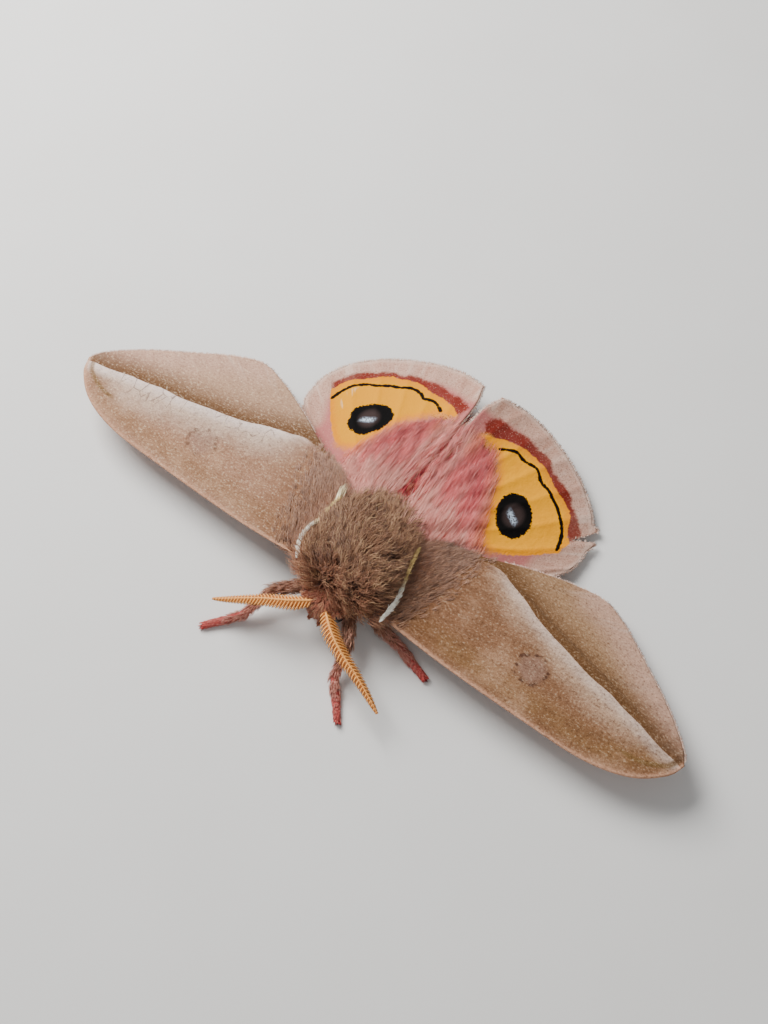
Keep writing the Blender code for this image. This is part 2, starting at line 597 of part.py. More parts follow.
def main():
    clear_scene()
    parts = bpy.data.collections.new("moth")
    helpers = bpy.data.collections.new("cutters")
    bpy.context.scene.collection.children.link(parts)
    bpy.context.scene.collection.children.link(helpers)
    core_space = make_cutter("core_space", THORAX, THORAX_RINGS, THORAX_SIDES, CORE_LEFT, helpers)
    thorax_space = make_cutter("thorax_space", THORAX, THORAX_RINGS, THORAX_SIDES, GAP, helpers)
    head_space = make_cutter("head_space", HEAD, HEAD_RINGS, HEAD_SIDES, GAP, helpers)
    floor = make_floor_space(helpers)

    spaces = make_wings(parts, helpers, thorax_space, core_space)
    make_head(parts, helpers, thorax_space)
    make_palps(parts, head_space)
    make_abdomen(parts, thorax_space)
    for name, joints in LEGS.items():
        make_leg(name, joints, parts, thorax_space, floor)
    for side in MIRROR:
        make_antenna(side, parts, head_space)
    cut(head_space, core_space)
    abdomen_space = make_cutter("abdomen_space", ABDOMEN_CLEAR, ABDOMEN_RINGS, ABDOMEN_SIDES, GAP, helpers)
    spaces += [head_space, cut(abdomen_space, core_space)]
    make_thorax(parts, spaces)

    moth = bpy.data.objects.new("moth", None)
    bpy.context.scene.collection.objects.link(moth)
    moth.location = PLACE_IN_ROW
    for obj in parts.objects:
        obj.parent = moth


main()
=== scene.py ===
# %% [markdown]
# # A resting silk moth with eyespots
#
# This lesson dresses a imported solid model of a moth, Automeris ovalina, as it rests with its forewings spread
# wide and both hindwings bare, so that their yellow fields and black eyespots show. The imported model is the
# fixed frame. It gives every place and size, and nothing in it is moved. Each step below adds one piece of
# the animal over it: membranes, skin, coat, eyes, feelers, and at last a floor, lights and a camera.

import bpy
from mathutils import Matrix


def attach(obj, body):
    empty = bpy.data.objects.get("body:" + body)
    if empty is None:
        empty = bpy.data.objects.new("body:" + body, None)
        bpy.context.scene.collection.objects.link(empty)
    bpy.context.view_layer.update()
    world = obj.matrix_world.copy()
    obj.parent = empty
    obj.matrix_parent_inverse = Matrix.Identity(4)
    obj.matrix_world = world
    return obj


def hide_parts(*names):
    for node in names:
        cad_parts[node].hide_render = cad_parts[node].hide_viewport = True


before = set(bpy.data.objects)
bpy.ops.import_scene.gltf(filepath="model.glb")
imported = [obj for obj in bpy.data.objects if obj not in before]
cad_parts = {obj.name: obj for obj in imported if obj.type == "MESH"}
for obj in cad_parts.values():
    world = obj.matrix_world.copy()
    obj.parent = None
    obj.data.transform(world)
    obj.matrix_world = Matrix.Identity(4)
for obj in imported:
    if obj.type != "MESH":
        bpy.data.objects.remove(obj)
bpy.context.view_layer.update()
print("packed nodes:", ", ".join(sorted(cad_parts)))

# %% [markdown]
# ## Millimetres, and how a piece is settled
#
# A moth is small, so every piece is modelled in its own millimetres, head towards -Y and its left side
# towards +X, as if one Blender unit were a millimetre. When a piece is finished, its points are moved to the
# moth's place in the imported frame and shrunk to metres. Its object then sits at the origin, unturned and
# unscaled, so that patterns on Object coordinates stay where they were painted.

# %% Units, place and settling
import math
from types import SimpleNamespace

import bpy
import numpy as np
from mathutils import Matrix, Quaternion, Vector

MM = 0.001
PLACE_IN_ROW = Vector((0.55, -5.87, 0.0))
SIDES = {"left": 1, "right": -1}


def deselect():
    bpy.ops.object.select_all(action="DESELECT")


def settle(piece, name, finish, *nodes, slot=None):
    """Names a piece, gives it its finish and its place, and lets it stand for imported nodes."""
    piece.name = name
    piece.data.name = name
    piece.data.transform(Matrix.Scale(MM, 4) @ Matrix.Translation(PLACE_IN_ROW))
    piece.data.materials.clear()
    piece.data.materials.append(finish)
    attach(piece, "root")
    if nodes:
        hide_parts(*nodes)
    piece.data.calc_loop_triangles()
    print(f"{name}: {len(piece.data.loop_triangles)} triangles")


print("place in the frame, in millimetres:", [round(share, 2) for share in PLACE_IN_ROW])

# %% [markdown]
# ## Writing shaders as sums
#
# A pattern such as a wing's is a sum of masks, and it reads best as arithmetic. The class below wraps one
# output socket, so that `1 - mask * 0.5` adds its own Math nodes. Colours go through Mix nodes, because a
# Math node would turn them grey.

# %% A socket with arithmetic
class Link:
    """One output of a shader node, in the node tree of one finish."""

    def __init__(self, tree, socket=None):
        self.tree = tree
        self.socket = socket

    def node(self, kind, settings=None, sockets=None, out=0):
        made = self.tree.nodes.new(kind)
        for name, value in (settings or {}).items():
            setattr(made, name, value)
        for key, value in (sockets or {}).items():
            if isinstance(value, Link):
                self.tree.links.new(value.socket, made.inputs[key])
            else:
                made.inputs[key].default_value = value
        return Link(self.tree, made.outputs[out])

    def maths(self, operation, first, second=0.0):
        return self.node("ShaderNodeMath", {"operation": operation}, {0: first, 1: second})

    def __add__(self, other):
        return self.maths("ADD", self, other)

    __radd__ = __add__

    def __sub__(self, other):
        return self.maths("SUBTRACT", self, other)

    def __rsub__(self, other):
        return self.maths("SUBTRACT", other, self)

    def __mul__(self, other):
        return self.maths("MULTIPLY", self, other)

    __rmul__ = __mul__

    def size(self):
        return self.maths("ABSOLUTE", self)

    def rise(self, start, end):
        """0 before start and 1 past end, smooth between them. start may be the larger."""
        smooth = {"interpolation_type": "SMOOTHSTEP"}
        return self.node("ShaderNodeMapRange", smooth, {0: self, 1: start, 2: end})

    def blend(self, other, share):
        """This colour, with share of the other one over it."""
        return self.node("ShaderNodeMix", {"data_type": "RGBA"}, {0: share, 6: self, 7: other}, out=2)

    def colour(self, shade):
        """A plain colour to start a pattern from."""
        return self.node("ShaderNodeMix", {"data_type": "RGBA"}, {0: 0.0, 6: shade, 7: shade}, out=2)

    def field(self, name):
        """The three numbers of a vector attribute."""
        vector = self.node("ShaderNodeAttribute", {"attribute_name": name}, out="Vector")
        split = vector.node("ShaderNodeSeparateXYZ", sockets={0: vector}).socket.node
        return [Link(self.tree, socket) for socket in split.outputs]

    def in_mm(self, stretch=(1.0, 1.0, 1.0)):
        """Object coordinates in millimetres, stretched along each axis."""
        place = self.node("ShaderNodeTexCoord", out="Object")
        scale = tuple(share / MM for share in stretch)
        return place.node("ShaderNodeVectorMath", {"operation": "MULTIPLY"}, {0: place, 1: scale})

    def on_sheet(self, stretch):
        """A point's place on its wing, out from the root and round it, stretched along each."""
        place = self.node("ShaderNodeAttribute", {"attribute_name": "sheet"}, out="Vector")
        return place.node("ShaderNodeVectorMath", {"operation": "MULTIPLY"}, {0: place, 1: stretch})

    def noise(self, place, scale, detail=2.0, roughness=0.5):
        sockets = {"Vector": place, "Scale": scale, "Detail": detail, "Roughness": roughness}
        return self.node("ShaderNodeTexNoise", sockets=sockets)


# %% Paints and finishes
def paint(red, green, blue):
    """A colour as the eye reads it off a screen, 0 to 255, made linear for a shader."""
    share = (np.array([red, green, blue]) / 255) ** 2.2
    return (*share.tolist(), 1.0)


def new_finish(name):
    material = bpy.data.materials.new(name)
    material.use_nodes = True
    material.node_tree.nodes["Principled BSDF"].name = "surface"
    return material, Link(material.node_tree)


def near(x, y, centre, reach):
    """1 at a place of the plan and 0 past its reach."""
    across = (x - centre[0]) * (1 / reach[0])
    along = (y - centre[1]) * (1 / reach[1])
    return 1 - (across * across + along * along)


def lay_on(material, colour, roughness, height=None, depth=0.0, **constants):
    """Joins a pattern to the finish's own shader. depth is the bump's height in millimetres."""
    tree = material.node_tree
    surface = tree.nodes["surface"]
    tree.links.new(colour.socket, surface.inputs["Base Color"])
    surface.inputs["Roughness"].default_value = roughness
    if height is not None:
        sockets = {"Height": height, "Distance": depth * MM, "Strength": 1.0}
        bump = height.node("ShaderNodeBump", sockets=sockets)
        tree.links.new(bump.socket, surface.inputs["Normal"])
    for name, value in constants.items():
        surface.inputs[name.replace("_", " ")].default_value = value
    print(f"finish {material.name}: {len(tree.nodes)} shader nodes")


# %% [markdown]
# ## Smooth outlines from a few landmarks
#
# A wing's outline is known from a few landmarks on each edge. A Catmull-Rom curve through them is smooth and
# passes through every one. A Coons patch then fills the four edges with a net of points, so that each point
# has two shares: how far out it lies from root to margin, and how far across from front edge to rear edge.

# %% Curves and patches
def smooth_path(points, count):
    """count points at even length along a Catmull-Rom curve through points."""
    p = np.array(points, float)
    ends = np.vstack([2 * p[0] - p[1], p, 2 * p[-1] - p[-2]])
    fine = []
    for a, b, c, d in zip(ends, ends[1:], ends[2:], ends[3:]):
        for t in np.linspace(0, 1, 24, endpoint=False):
            bend = (2 * a - 5 * b + 4 * c - d) * t**2 + (3 * b - 3 * c + d - a) * t**3
            fine.append(0.5 * (2 * b + (c - a) * t + bend))
    fine = np.array(fine + [p[-1]])
    run = np.r_[0, np.cumsum(np.linalg.norm(np.diff(fine, axis=0), axis=1))]
    even = np.linspace(0, run[-1], count)
    return np.stack([np.interp(even, run, fine[:, k]) for k in range(p.shape[1])], -1)


def at(curve, share):
    """Points of a curve at shares of its length."""
    place = np.asarray(share, float) * (len(curve) - 1)
    i = np.minimum(place.astype(int), len(curve) - 2)
    return curve[i] + (curve[i + 1] - curve[i]) * (place - i)[..., None]


def coons(wing, out, across):
    """Plan points of a wing at shares out and across."""
    front, rear, outer, root = (wing[edge + "_fine"] for edge in ("front", "rear", "outer", "root"))
    o, a = np.asarray(out)[..., None], np.asarray(across)[..., None]
    edges = (1 - a) * at(front, out) + a * at(rear, out) + (1 - o) * at(root, across) + o * at(outer, across)
    corners = (1 - o) * ((1 - a) * front[0] + a * rear[0]) + o * ((1 - a) * front[-1] + a * rear[-1])
    return edges - corners


def unit(vectors):
    return vectors / np.maximum(np.linalg.norm(vectors, axis=-1, keepdims=True), 1e-9)


print("middle of a path bent over three points:", smooth_path([(0, 0), (1, 1), (2, 0)], 3)[1].round(2))

# %% [markdown]
# ## How the wings are held
#
# These are the landmarks and the few sizes from which the solids were made, in millimetres of the left side.
# The forewing is nearly level and folds along a pale line from its tip, and the hindwings arch over the
# abdomen. The two sides of a live moth differ a little, so each wing is held in its own way: its reach,
# how far it sweeps to the head, and how wide it spreads behind the fold.

# %% Wing landmarks
FOREWING = {
    "front": [(3.6, -3.4), (5.6, -4.0), (14.4, -4.4), (26.0, -4.2),
              (33.5, -3.8), (38.6, -2.3), (41.7, 0.2), (42.6, 2.2)],
    "outer": [(42.6, 2.2), (41.2, 4.0), (37.8, 6.9), (33.0, 10.0), (29.8, 12.0),
              (27.6, 13.1), (26.2, 13.6), (25.2, 13.75)],
    "rear": [(3.4, 3.9), (5.4, 5.0), (8.7, 7.4), (12.4, 9.1), (16.2, 10.9), (20.4, 12.6),
             (22.4, 13.2), (24.0, 13.65), (25.2, 13.75)],
    "root": [(3.6, -3.4), (4.0, 0.4), (3.4, 3.9)],
    "base": (4.0, 0.0),
    "veins": [0.07, 0.16, 0.25, 0.36, 0.47, 0.58, 0.7, 0.81, 0.92],
    "ridge": 0.07,
    "sag": 0.05,
    "net": (210, 84),
    "held": {"left": (0.984, 0.8, 1.0, 1.0), "right": (1.010, 0.5, 1.13, 0.7)},
    "torn": {},
}
HINDWING = {
    "front": [(2.6, 3.4), (4.8, 3.9), (9.4, 5.9), (14.4, 8.4), (18.4, 12.2)],
    "outer": [(18.4, 12.2), (19.8, 15.2), (19.7, 18.9), (17.8, 22.3),
              (13.8, 25.3), (9.0, 27.2), (4.8, 27.8), (1.5, 27.2)],
    "rear": [(1.6, 6.2), (1.2, 9.0), (0.7, 13.0), (0.5, 19.0), (0.6, 24.0), (1.5, 27.2)],
    "root": [(2.6, 3.4), (2.2, 5.0), (1.6, 6.2)],
    "base": (2.0, 3.0),
    "veins": [0.1, 0.24, 0.37, 0.5, 0.63, 0.76, 0.89],
    "ridge": 0.09,
    "sag": 0.12,
    "net": (120, 110),
    "held": {"left": (1.0, 0.0, 1.0, 1.0), "right": (0.975, 0.0, 1.0, 1.0)},
    "torn": {"left": (0.272, 0.025, 0.1, 0.03)},
}
WINGS = {"forewing": FOREWING, "hindwing": HINDWING}
EDGE_POINTS = 60
for kind, wing in WINGS.items():
    for edge in ("front", "outer", "rear", "root"):
        wing[edge + "_fine"] = smooth_path(wing[edge], EDGE_POINTS)
    print(f"{kind}: reaches {wing['outer_fine'][:, 0].max():.1f} mm from the middle line")

# %% Heights of the wings
FOLD_TIP_X, FOLD_TIP_Y = 42.5, 2.2
FOLD_SLOPE, FOLD_BEND_X = 0.195, 21.0
FOLD_Z, FOLD_RISE, FOLD_REACH, TIP_DROP = 5.15, 0.85, 6.5, 0.8
DROOP_BEHIND, DROOP_IN_FRONT = 0.34, 0.05
HINDWING_Z, ABDOMEN_HUMP, FALL_OUT, FALL_BACK = 6.3, 0.4, 0.235, 0.075
ROOT_X, WING_RUN = 5.0, 37.0


def fold_line(x):
    """y of the forewing's fold at x: straight from the tip, and bent near the root."""
    inside = np.maximum(0.0, FOLD_BEND_X - x)
    return FOLD_TIP_Y + FOLD_SLOPE * (FOLD_TIP_X - x) + 0.09 * inside - 0.022 * inside**2


def forewing_height(x, y, out, across, droops):
    """z of the forewing's middle: raised along its fold, and let down behind it."""
    along = np.clip((x - ROOT_X) / WING_RUN, 0.0, 1.0)
    before = fold_line(x) - y
    share = np.maximum(0.0, 1 - np.abs(before) / np.where(before > 0, FOLD_REACH, 1.0))
    crest = FOLD_RISE * np.sin(math.pi * (0.12 + 0.88 * along)) ** 0.6
    droop = droops * DROOP_BEHIND * np.maximum(0.0, -before - 1.0)
    droop = droop + DROOP_IN_FRONT * np.maximum(0.0, before - FOLD_REACH)
    return FOLD_Z - TIP_DROP * along + crest * share**2 * (3 - 2 * share) - droop


def hindwing_height(x, y, out, across, droops):
    """z of the hindwing's middle: arched over the abdomen, and dipped under the forewing."""
    dip = (1 - out) * np.maximum(0.0, 1 - across / 0.4) ** 2
    hump = ABDOMEN_HUMP * np.exp(-((x / 2.5) ** 2))
    return HINDWING_Z + hump - FALL_OUT * x - FALL_BACK * np.maximum(0.0, y - 10) - dip


FOREWING["height"], HINDWING["height"] = forewing_height, hindwing_height
for x in (10.0, 25.0, 40.0):
    print(f"fold {x:.0f} mm out: y {fold_line(x):.1f}, z {forewing_height(x, fold_line(x), 0, 0, 1):.1f} mm")


# %% [markdown]
# ## The membranes
#
# A real wing is a skin far thinner than a tenth of a millimetre, stretched over veins and pleated between
# them. It could be cut from a flat sheet, but a cut outline would have no rows to bend along. So each
# membrane starts as a flat grid, whose rows run out from the root. Its points are then laid on the patch,
# with a low ridge on every vein and a slight sag between two veins. Solidify gives the wall.

# %% Pleats, and a wing's points in space
RIDGE_HALF_WIDTH = 0.2


def pleats(wing, out, across):
    """The rise of ridges on the veins and the sag between them."""
    front, rear = coons(wing, out, np.zeros_like(out)), coons(wing, out, np.ones_like(out))
    width = np.linalg.norm(rear - front, axis=-1)
    edges = np.array([0.0] + wing["veins"] + [1.0])
    gaps = (across[..., None] - np.array(wing["veins"])) * width[..., None]
    crest = wing["ridge"] * np.exp(-((gaps / RIDGE_HALF_WIDTH) ** 2)).sum(-1) * (1 - 0.6 * out)
    field = np.clip(np.searchsorted(edges, across) - 1, 0, len(edges) - 2)
    between = (across - edges[field]) / (edges[field + 1] - edges[field])
    return crest - wing["sag"] * np.sin(math.pi * between) * np.sqrt(out)


def wing_points(wing, side, out, across, pleated=True):
    """Points of a wing's middle surface in the moth's millimetres."""
    reach, sweep, spread, droops = wing["held"][side]
    turn = math.radians(sweep)
    plan = coons(wing, out, across)
    x, y = plan[..., 0], plan[..., 1]
    z = wing["height"](x, y, out, across, droops)
    if pleated:
        z = z + pleats(wing, out, across)
    x, y = x * reach, y + (spread - 1) * np.maximum(0.0, y - fold_line(x))
    x, y = x * math.cos(turn) + y * math.sin(turn), y * math.cos(turn) - x * math.sin(turn)
    return np.stack([SIDES[side] * x, y, z], -1)


def torn_reach(wing, side, out, across):
    """How far out a point lies when the margin is torn beside it. A tear has its place across the wing,
    its half width, its depth and the reach of its lips, all as shares of the wing."""
    if side not in wing["torn"]:
        return out
    middle, half, depth, lips = wing["torn"][side]
    off = np.abs(across - middle) / half
    shift = lips * np.exp(-(((off - 1.3) / 0.7) ** 2)) - depth * np.maximum(0.0, 1 - off)
    return out * (1 + shift * out**8)


tip = wing_points(FOREWING, "left", np.array([1.0]), np.array([0.0]))[0]
print("tip of the left forewing, in millimetres:", tip.round(1))

# %% Lay a grid on a wing
MEMBRANE = 0.16


def apply_all(piece):
    deselect()
    piece.select_set(True)
    bpy.context.view_layer.objects.active = piece
    for modifier in list(piece.modifiers):
        bpy.ops.object.modifier_apply(modifier=modifier.name)


def lay_membrane(wing, side):
    """One wing: a flat grid, laid on the wing's own surface and given its wall."""
    rows, columns = wing["net"]
    deselect()
    bpy.ops.mesh.primitive_grid_add(x_subdivisions=columns, y_subdivisions=rows, size=2)
    sheet = bpy.context.object
    plan = np.array([v.co for v in sheet.data.vertices])
    out, across = (plan[:, 1] + 1) / 2, (plan[:, 0] + 1) / 2
    points = wing_points(wing, side, torn_reach(wing, side, out, across), across)
    sheet.data.vertices.foreach_set("co", points.ravel())
    sheet.data.update()
    bpy.ops.object.mode_set(mode="EDIT")
    bpy.ops.mesh.select_all(action="SELECT")
    if sheet.data.polygons[0].normal.z < 0:
        bpy.ops.mesh.flip_normals()
    bpy.ops.object.mode_set(mode="OBJECT")
    wall = sheet.modifiers.new("wall", "SOLIDIFY")
    wall.thickness = MEMBRANE
    wall.offset = 0
    apply_all(sheet)
    bpy.ops.object.shade_smooth()
    return sheet


membranes = {(kind, side): lay_membrane(wing, side) for kind, wing in WINGS.items() for side in SIDES}
for (kind, side), membrane in membranes.items():
    print(f"{side} {kind}: {len(membrane.data.vertices)} points")


# %% [markdown]
# ## Markings as distances
#
# The lines, fields and spots of a wing are crisp, and its net of points is much coarser than they are. A
# distance, though, changes evenly from point to point. So each point keeps how many millimetres it is from a
# line or inside a field, and the shader draws the crisp edge where that number passes zero. The coat's tufts
# keep the same numbers at their roots, so skin and coat carry one pattern.

# %% Measure distances
def distance_to(path, points):
    """Shortest distance from each plan point to a path."""
    start, run = path[:-1], np.diff(path, axis=0)
    least = np.full(len(points), 1e9)
    for a, r in zip(start, run):
        share = np.clip(((points - a) @ r) / (r @ r), 0, 1)
        least = np.minimum(least, np.linalg.norm(points - a - share[:, None] * r, axis=1))
    return least


def depth_inside(path, points):
    """Distance to a closed path, above zero inside it."""
    ring = np.vstack([path, path[:1]])
    inside = np.zeros(len(points), bool)
    for a, b in zip(ring, ring[1:]):
        if a[1] == b[1]:
            continue
        crosses = (a[1] > points[:, 1]) != (b[1] > points[:, 1])
        inside ^= crosses & (points[:, 0] < a[0] + (points[:, 1] - a[1]) * (b[0] - a[0]) / (b[1] - a[1]))
    return np.where(inside, 1, -1) * distance_to(ring, points)


def beyond(line, points):
    """Distance to a line that runs along x, above zero behind it."""
    order = np.argsort(line[:, 0])
    behind = points[:, 1] > np.interp(points[:, 0], line[order, 0], line[order, 1])
    return np.where(behind, 1, -1) * distance_to(line, points)


square = np.array([(0.0, 0.0), (2.0, 0.0), (2.0, 2.0), (0.0, 2.0)])
print("the middle of a square of 2 mm is inside by", depth_inside(square, np.array([(1.0, 1.0)]))[0], "mm")

# %% [markdown]
# ## Where the markings lie
#
# Landmarks of the markings in plan, in millimetres from the middle line, as read from the moth. Both
# sides are given, because each wing has its own. The hindwing has a yellow field with the eyespot, a thin
# black line, a red-brown band and a grey-pink margin. The forewing has its fold line with a pale band before
# it, and one faint ring.

# %% Landmarks of the markings
FIELD_EDGE = {
    "left": [(17.3, 15.5), (14.8, 12.8), (12.4, 10.9), (10.9, 10.4), (9.9, 11.2), (9.1, 13.0),
             (8.1, 15.5), (7.2, 17.9), (6.1, 20.0), (4.6, 21.7)],
    "right": [(16.4, 16.2), (14.9, 14.3), (12.7, 12.0), (11.2, 11.0), (9.5, 11.6), (8.7, 13.2),
              (8.1, 15.5), (7.0, 17.9), (5.5, 19.4), (3.8, 21.3)],
}
BLACK_LINE = {
    "left": [(17.2, 15.6), (16.7, 17.4), (15.7, 18.8), (14.3, 20.1), (13.1, 20.7), (12.3, 21.2), (11.0, 21.5),
             (9.9, 22.4), (9.0, 22.5), (7.9, 22.3), (6.9, 22.6), (5.9, 22.2), (4.9, 21.5)],
    "right": [(16.4, 16.2), (16.0, 18.0), (15.2, 19.3), (14.0, 20.3), (12.6, 20.8), (11.3, 21.6),
              (10.0, 22.0), (8.8, 22.6), (7.4, 22.5), (6.6, 22.0), (5.1, 22.2), (3.7, 21.4)],
}
BAND_INNER = {
    "left": [(17.7, 17.3), (16.6, 18.5), (15.9, 20.1), (14.6, 21.1), (13.1, 21.6), (11.6, 22.5), (10.2, 23.1),
             (8.6, 23.4), (7.0, 23.4), (5.3, 23.0), (3.9, 22.2), (2.6, 21.4)],
    "right": [(17.2, 17.3), (16.3, 19.3), (14.7, 20.7), (13.4, 21.7), (11.9, 22.8), (10.7, 22.9), (9.4, 23.4),
              (8.1, 23.5), (6.5, 23.1), (4.5, 23.0), (2.9, 22.5), (1.6, 21.6)],
}
BAND_OUTER = {
    "left": [(18.6, 19.3), (17.4, 20.0), (15.5, 21.6), (14.3, 22.7), (12.7, 23.1), (11.2, 23.6), (10.0, 24.8),
             (8.9, 24.7), (7.7, 24.9), (6.4, 25.2), (4.7, 24.8), (3.4, 24.8), (2.1, 24.3), (1.8, 23.0)],
    "right": [(18.0, 18.3), (16.9, 20.0), (15.7, 21.5), (14.0, 22.4), (12.4, 23.5), (10.8, 23.6), (9.7, 24.4),
              (7.9, 24.5), (6.1, 24.8), (4.1, 24.3), (2.5, 24.2), (1.0, 23.3)],
}
EYESPOT = {
    "left": [(12.8, 13.3), (11.1, 12.7), (9.6, 13.8), (8.7, 15.8), (9.1, 17.7), (10.6, 18.5), (12.4, 17.5),
             (13.3, 15.5)],
    "right": [(12.4, 14.2), (12.9, 16.4), (11.6, 17.9), (9.6, 18.8), (8.1, 17.8), (8.1, 15.9), (9.5, 13.6),
              (11.5, 13.4)],
}
FOLD_MARK = [(43.0, 1.6), (42.0, 1.9), (39.0, 2.3), (36.6, 2.9), (34.1, 3.3), (31.8, 3.8), (29.5, 4.0),
             (27.4, 4.4), (25.4, 4.9), (22.9, 5.4), (20.5, 6.1), (18.3, 7.0), (16.4, 7.6), (14.8, 8.4),
             (13.2, 8.5), (11.4, 8.1), (10.2, 7.9)]
PALE_EDGE = [(40.8, 1.1), (35.3, 0.3), (30.9, 0.6), (27.9, 1.4), (24.4, 2.2), (21.1, 3.3), (17.4, 4.1),
             (13.7, 5.6), (10.5, 7.0)]
RING_CENTRE, RING_SIZE = (23.6, 1.0), (1.75, 1.6)
for name, marking in (("edge", FIELD_EDGE), ("line", BLACK_LINE), ("band", BAND_INNER), ("spot", EYESPOT)):
    print(f"landmarks of the {name}:", {side: len(marking[side]) for side in SIDES})

# %% [markdown]
# ## Give each point its distances
#
# Vector attributes hold what the shaders need. `bands` and `spots` are distances, and `sheet` is the point's
# own place on the wing, as millimetres out from the root and round it, with its third number one on the
# underside. `local` is measured from the eyespot's middle, and `side` is one on the right wing. An attribute
# stays with its point when the wing is moved, where a pattern in space would slide.

# %% Numbers kept on a mesh
def keep(mesh, name, columns):
    """Stores three numbers for each point of a mesh."""
    layer = mesh.attributes.new(name, "FLOAT_VECTOR", "POINT")
    layer.data.foreach_set("vector", np.stack(columns, -1).astype(np.float32).ravel())


def on_sheet(wing, plan, under):
    reach = plan - np.array(wing["base"])
    return [np.linalg.norm(reach, axis=1), 15 * np.arctan2(reach[:, 1], reach[:, 0]), under]


def side_number(plan, side):
    return [np.full(len(plan), float(side == "right"))] * 3


# %% Distances on the forewing
FOLD, PALE_BAND = smooth_path(FOLD_MARK, 90), smooth_path(PALE_EDGE, 60)


def forewing_marks(plan, side, under):
    """Distances on a forewing at plan points whose x is counted from the middle line."""
    reach, sweep, spread, _ = FOREWING["held"][side]
    turn = math.radians(-sweep)
    x = plan[:, 0] * math.cos(turn) + plan[:, 1] * math.sin(turn)
    held = np.stack([x / reach, plan[:, 1] * math.cos(turn) - plan[:, 0] * math.sin(turn)], -1)
    held[:, 1] -= (1 - 1 / spread) * np.maximum(0.0, held[:, 1] - fold_line(held[:, 0]))
    from_ring = (held - np.array(RING_CENTRE)) / np.array(RING_SIZE)
    from_margin = distance_to(FOREWING["outer_fine"], held)
    return {
        "bands": [beyond(FOLD, held), beyond(PALE_BAND, held), distance_to(FOREWING["front_fine"], held)],
        "spots": [np.linalg.norm(from_ring, axis=1), from_margin, held[:, 0] - FOREWING["base"][0]],
        "sheet": on_sheet(FOREWING, held, under),
        "side": side_number(plan, side),
    }


print(f"fold mark: {len(FOLD_MARK)} landmarks, drawn through {len(FOLD)} points")

# %% Distances on the hindwing
INNER = {side: smooth_path(BAND_INNER[side], 70) for side in SIDES}
YELLOW_FIELD = {side: np.vstack([smooth_path(FIELD_EDGE[side], 60), INNER[side][::-1]]) for side in SIDES}


def hindwing_marks(plan, side, under):
    """Distances on a hindwing at plan points whose x is counted from the middle line."""
    band = np.vstack([INNER[side], smooth_path(BAND_OUTER[side], 70)[::-1]])
    spot = np.array(EYESPOT[side])
    ring = smooth_path(np.vstack([spot, spot[:1]]), 60)
    margin = HINDWING["outer_fine"] * np.array([HINDWING["held"][side][0], 1.0])
    reach = (plan - spot.mean(0)) / (np.ptp(spot, axis=0) / 2)
    from_line = distance_to(smooth_path(BLACK_LINE[side], 90), plan)
    return {
        "bands": [depth_inside(YELLOW_FIELD[side], plan), from_line, depth_inside(band, plan)],
        "spots": [depth_inside(ring[:-1], plan), distance_to(margin, plan), plan[:, 1]],
        "sheet": on_sheet(HINDWING, plan, under),
        "local": [reach[:, 0], reach[:, 1], plan[:, 0]],
        "side": side_number(plan, side),
    }


for side in SIDES:
    width, length = np.ptp(np.array(EYESPOT[side]), axis=0)
    print(f"{side} eyespot: {width:.1f} by {length:.1f} mm")

# %% Mark the four membranes
MARKS = {"forewing": forewing_marks, "hindwing": hindwing_marks}


def mark(piece, marks_of, side):
    """Stores a wing's distances on all points of its mesh."""
    points = np.array([v.co for v in piece.data.vertices])
    normals = np.array([v.normal for v in piece.data.vertices])
    plan = np.stack([points[:, 0] * SIDES[side], points[:, 1]], -1)
    under = (normals[:, 2] < 0).astype(float)
    marks = marks_of(plan, side, under)
    for name, columns in marks.items():
        keep(piece.data, name, columns)
    print(f"{side} wing keeps {', '.join(marks)}")


for (kind, side), membrane in membranes.items():
    mark(membrane, MARKS[kind], side)


# %% [markdown]
# ## The forewing's finish
#
# The ground is a warm dead-leaf brown, olive behind the pink-tan front edge, with a rosy pale band up to the
# fold. Behind the fold lies a brown shade that fades to a pinkish tan. Wing scales are far too small to
# model, so a stretched noise stands for their rows, in the colour and in the bump. A picture could be laid
# over the wing, but masks from distances stay sharp however near the camera comes.

# %% What the forewing's coats of paint share
FLAT_SCALES = (0.7, 1.0, 1.0)


def forewing_masks(base):
    """The distances, the side, the noises and the pale band, by name."""
    w = SimpleNamespace()
    w.past_fold, w.past_pale, w.from_front = base.field("bands")
    w.ring, w.from_margin, w.from_root = base.field("spots")
    w.under, w.right = base.field("sheet")[2], base.field("side")[0]
    w.cloud = base.noise(base.in_mm(), 0.32, 3.0)
    w.mottle = base.noise(base.in_mm(FLAT_SCALES), 1.4, 3.0, 0.6)
    w.before = w.past_fold.rise(0.02, -0.02)
    # Painted sheen: on the right wing the band reaches further, for the stronger light on that side.
    band = w.past_pale + w.right * 0.7 + (w.cloud - 0.5) * 2.0 + (w.mottle - 0.5) * 1.6
    w.band = band.rise(-1.3, 3.0) * w.before * w.from_root.rise(7.0, 14.0)
    return w


# %% Ground and pale band before the fold
def forewing_ground(base, w):
    # Painted light: the right wing's ground is painted lighter, less olive and less clouded, for the stronger
    # sheen on that side.
    colour = base.colour(paint(130, 92, 66)).blend(paint(160, 119, 94), w.right)
    olive = w.from_front.rise(0.4, 1.6) * w.from_front.rise(4.6, 2.2)
    colour = colour.blend(paint(124, 90, 54), olive * (0.6 - w.right * 0.2))
    colour = colour.blend(paint(176, 136, 106), w.cloud.rise(0.45, 0.72) * 0.55)
    colour = colour.blend(paint(116, 80, 54), w.cloud.rise(0.44, 0.3) * (0.5 - w.right * 0.3))
    return colour.blend(paint(122, 82, 56), w.from_root.rise(13.0, 4.0) * 0.7)


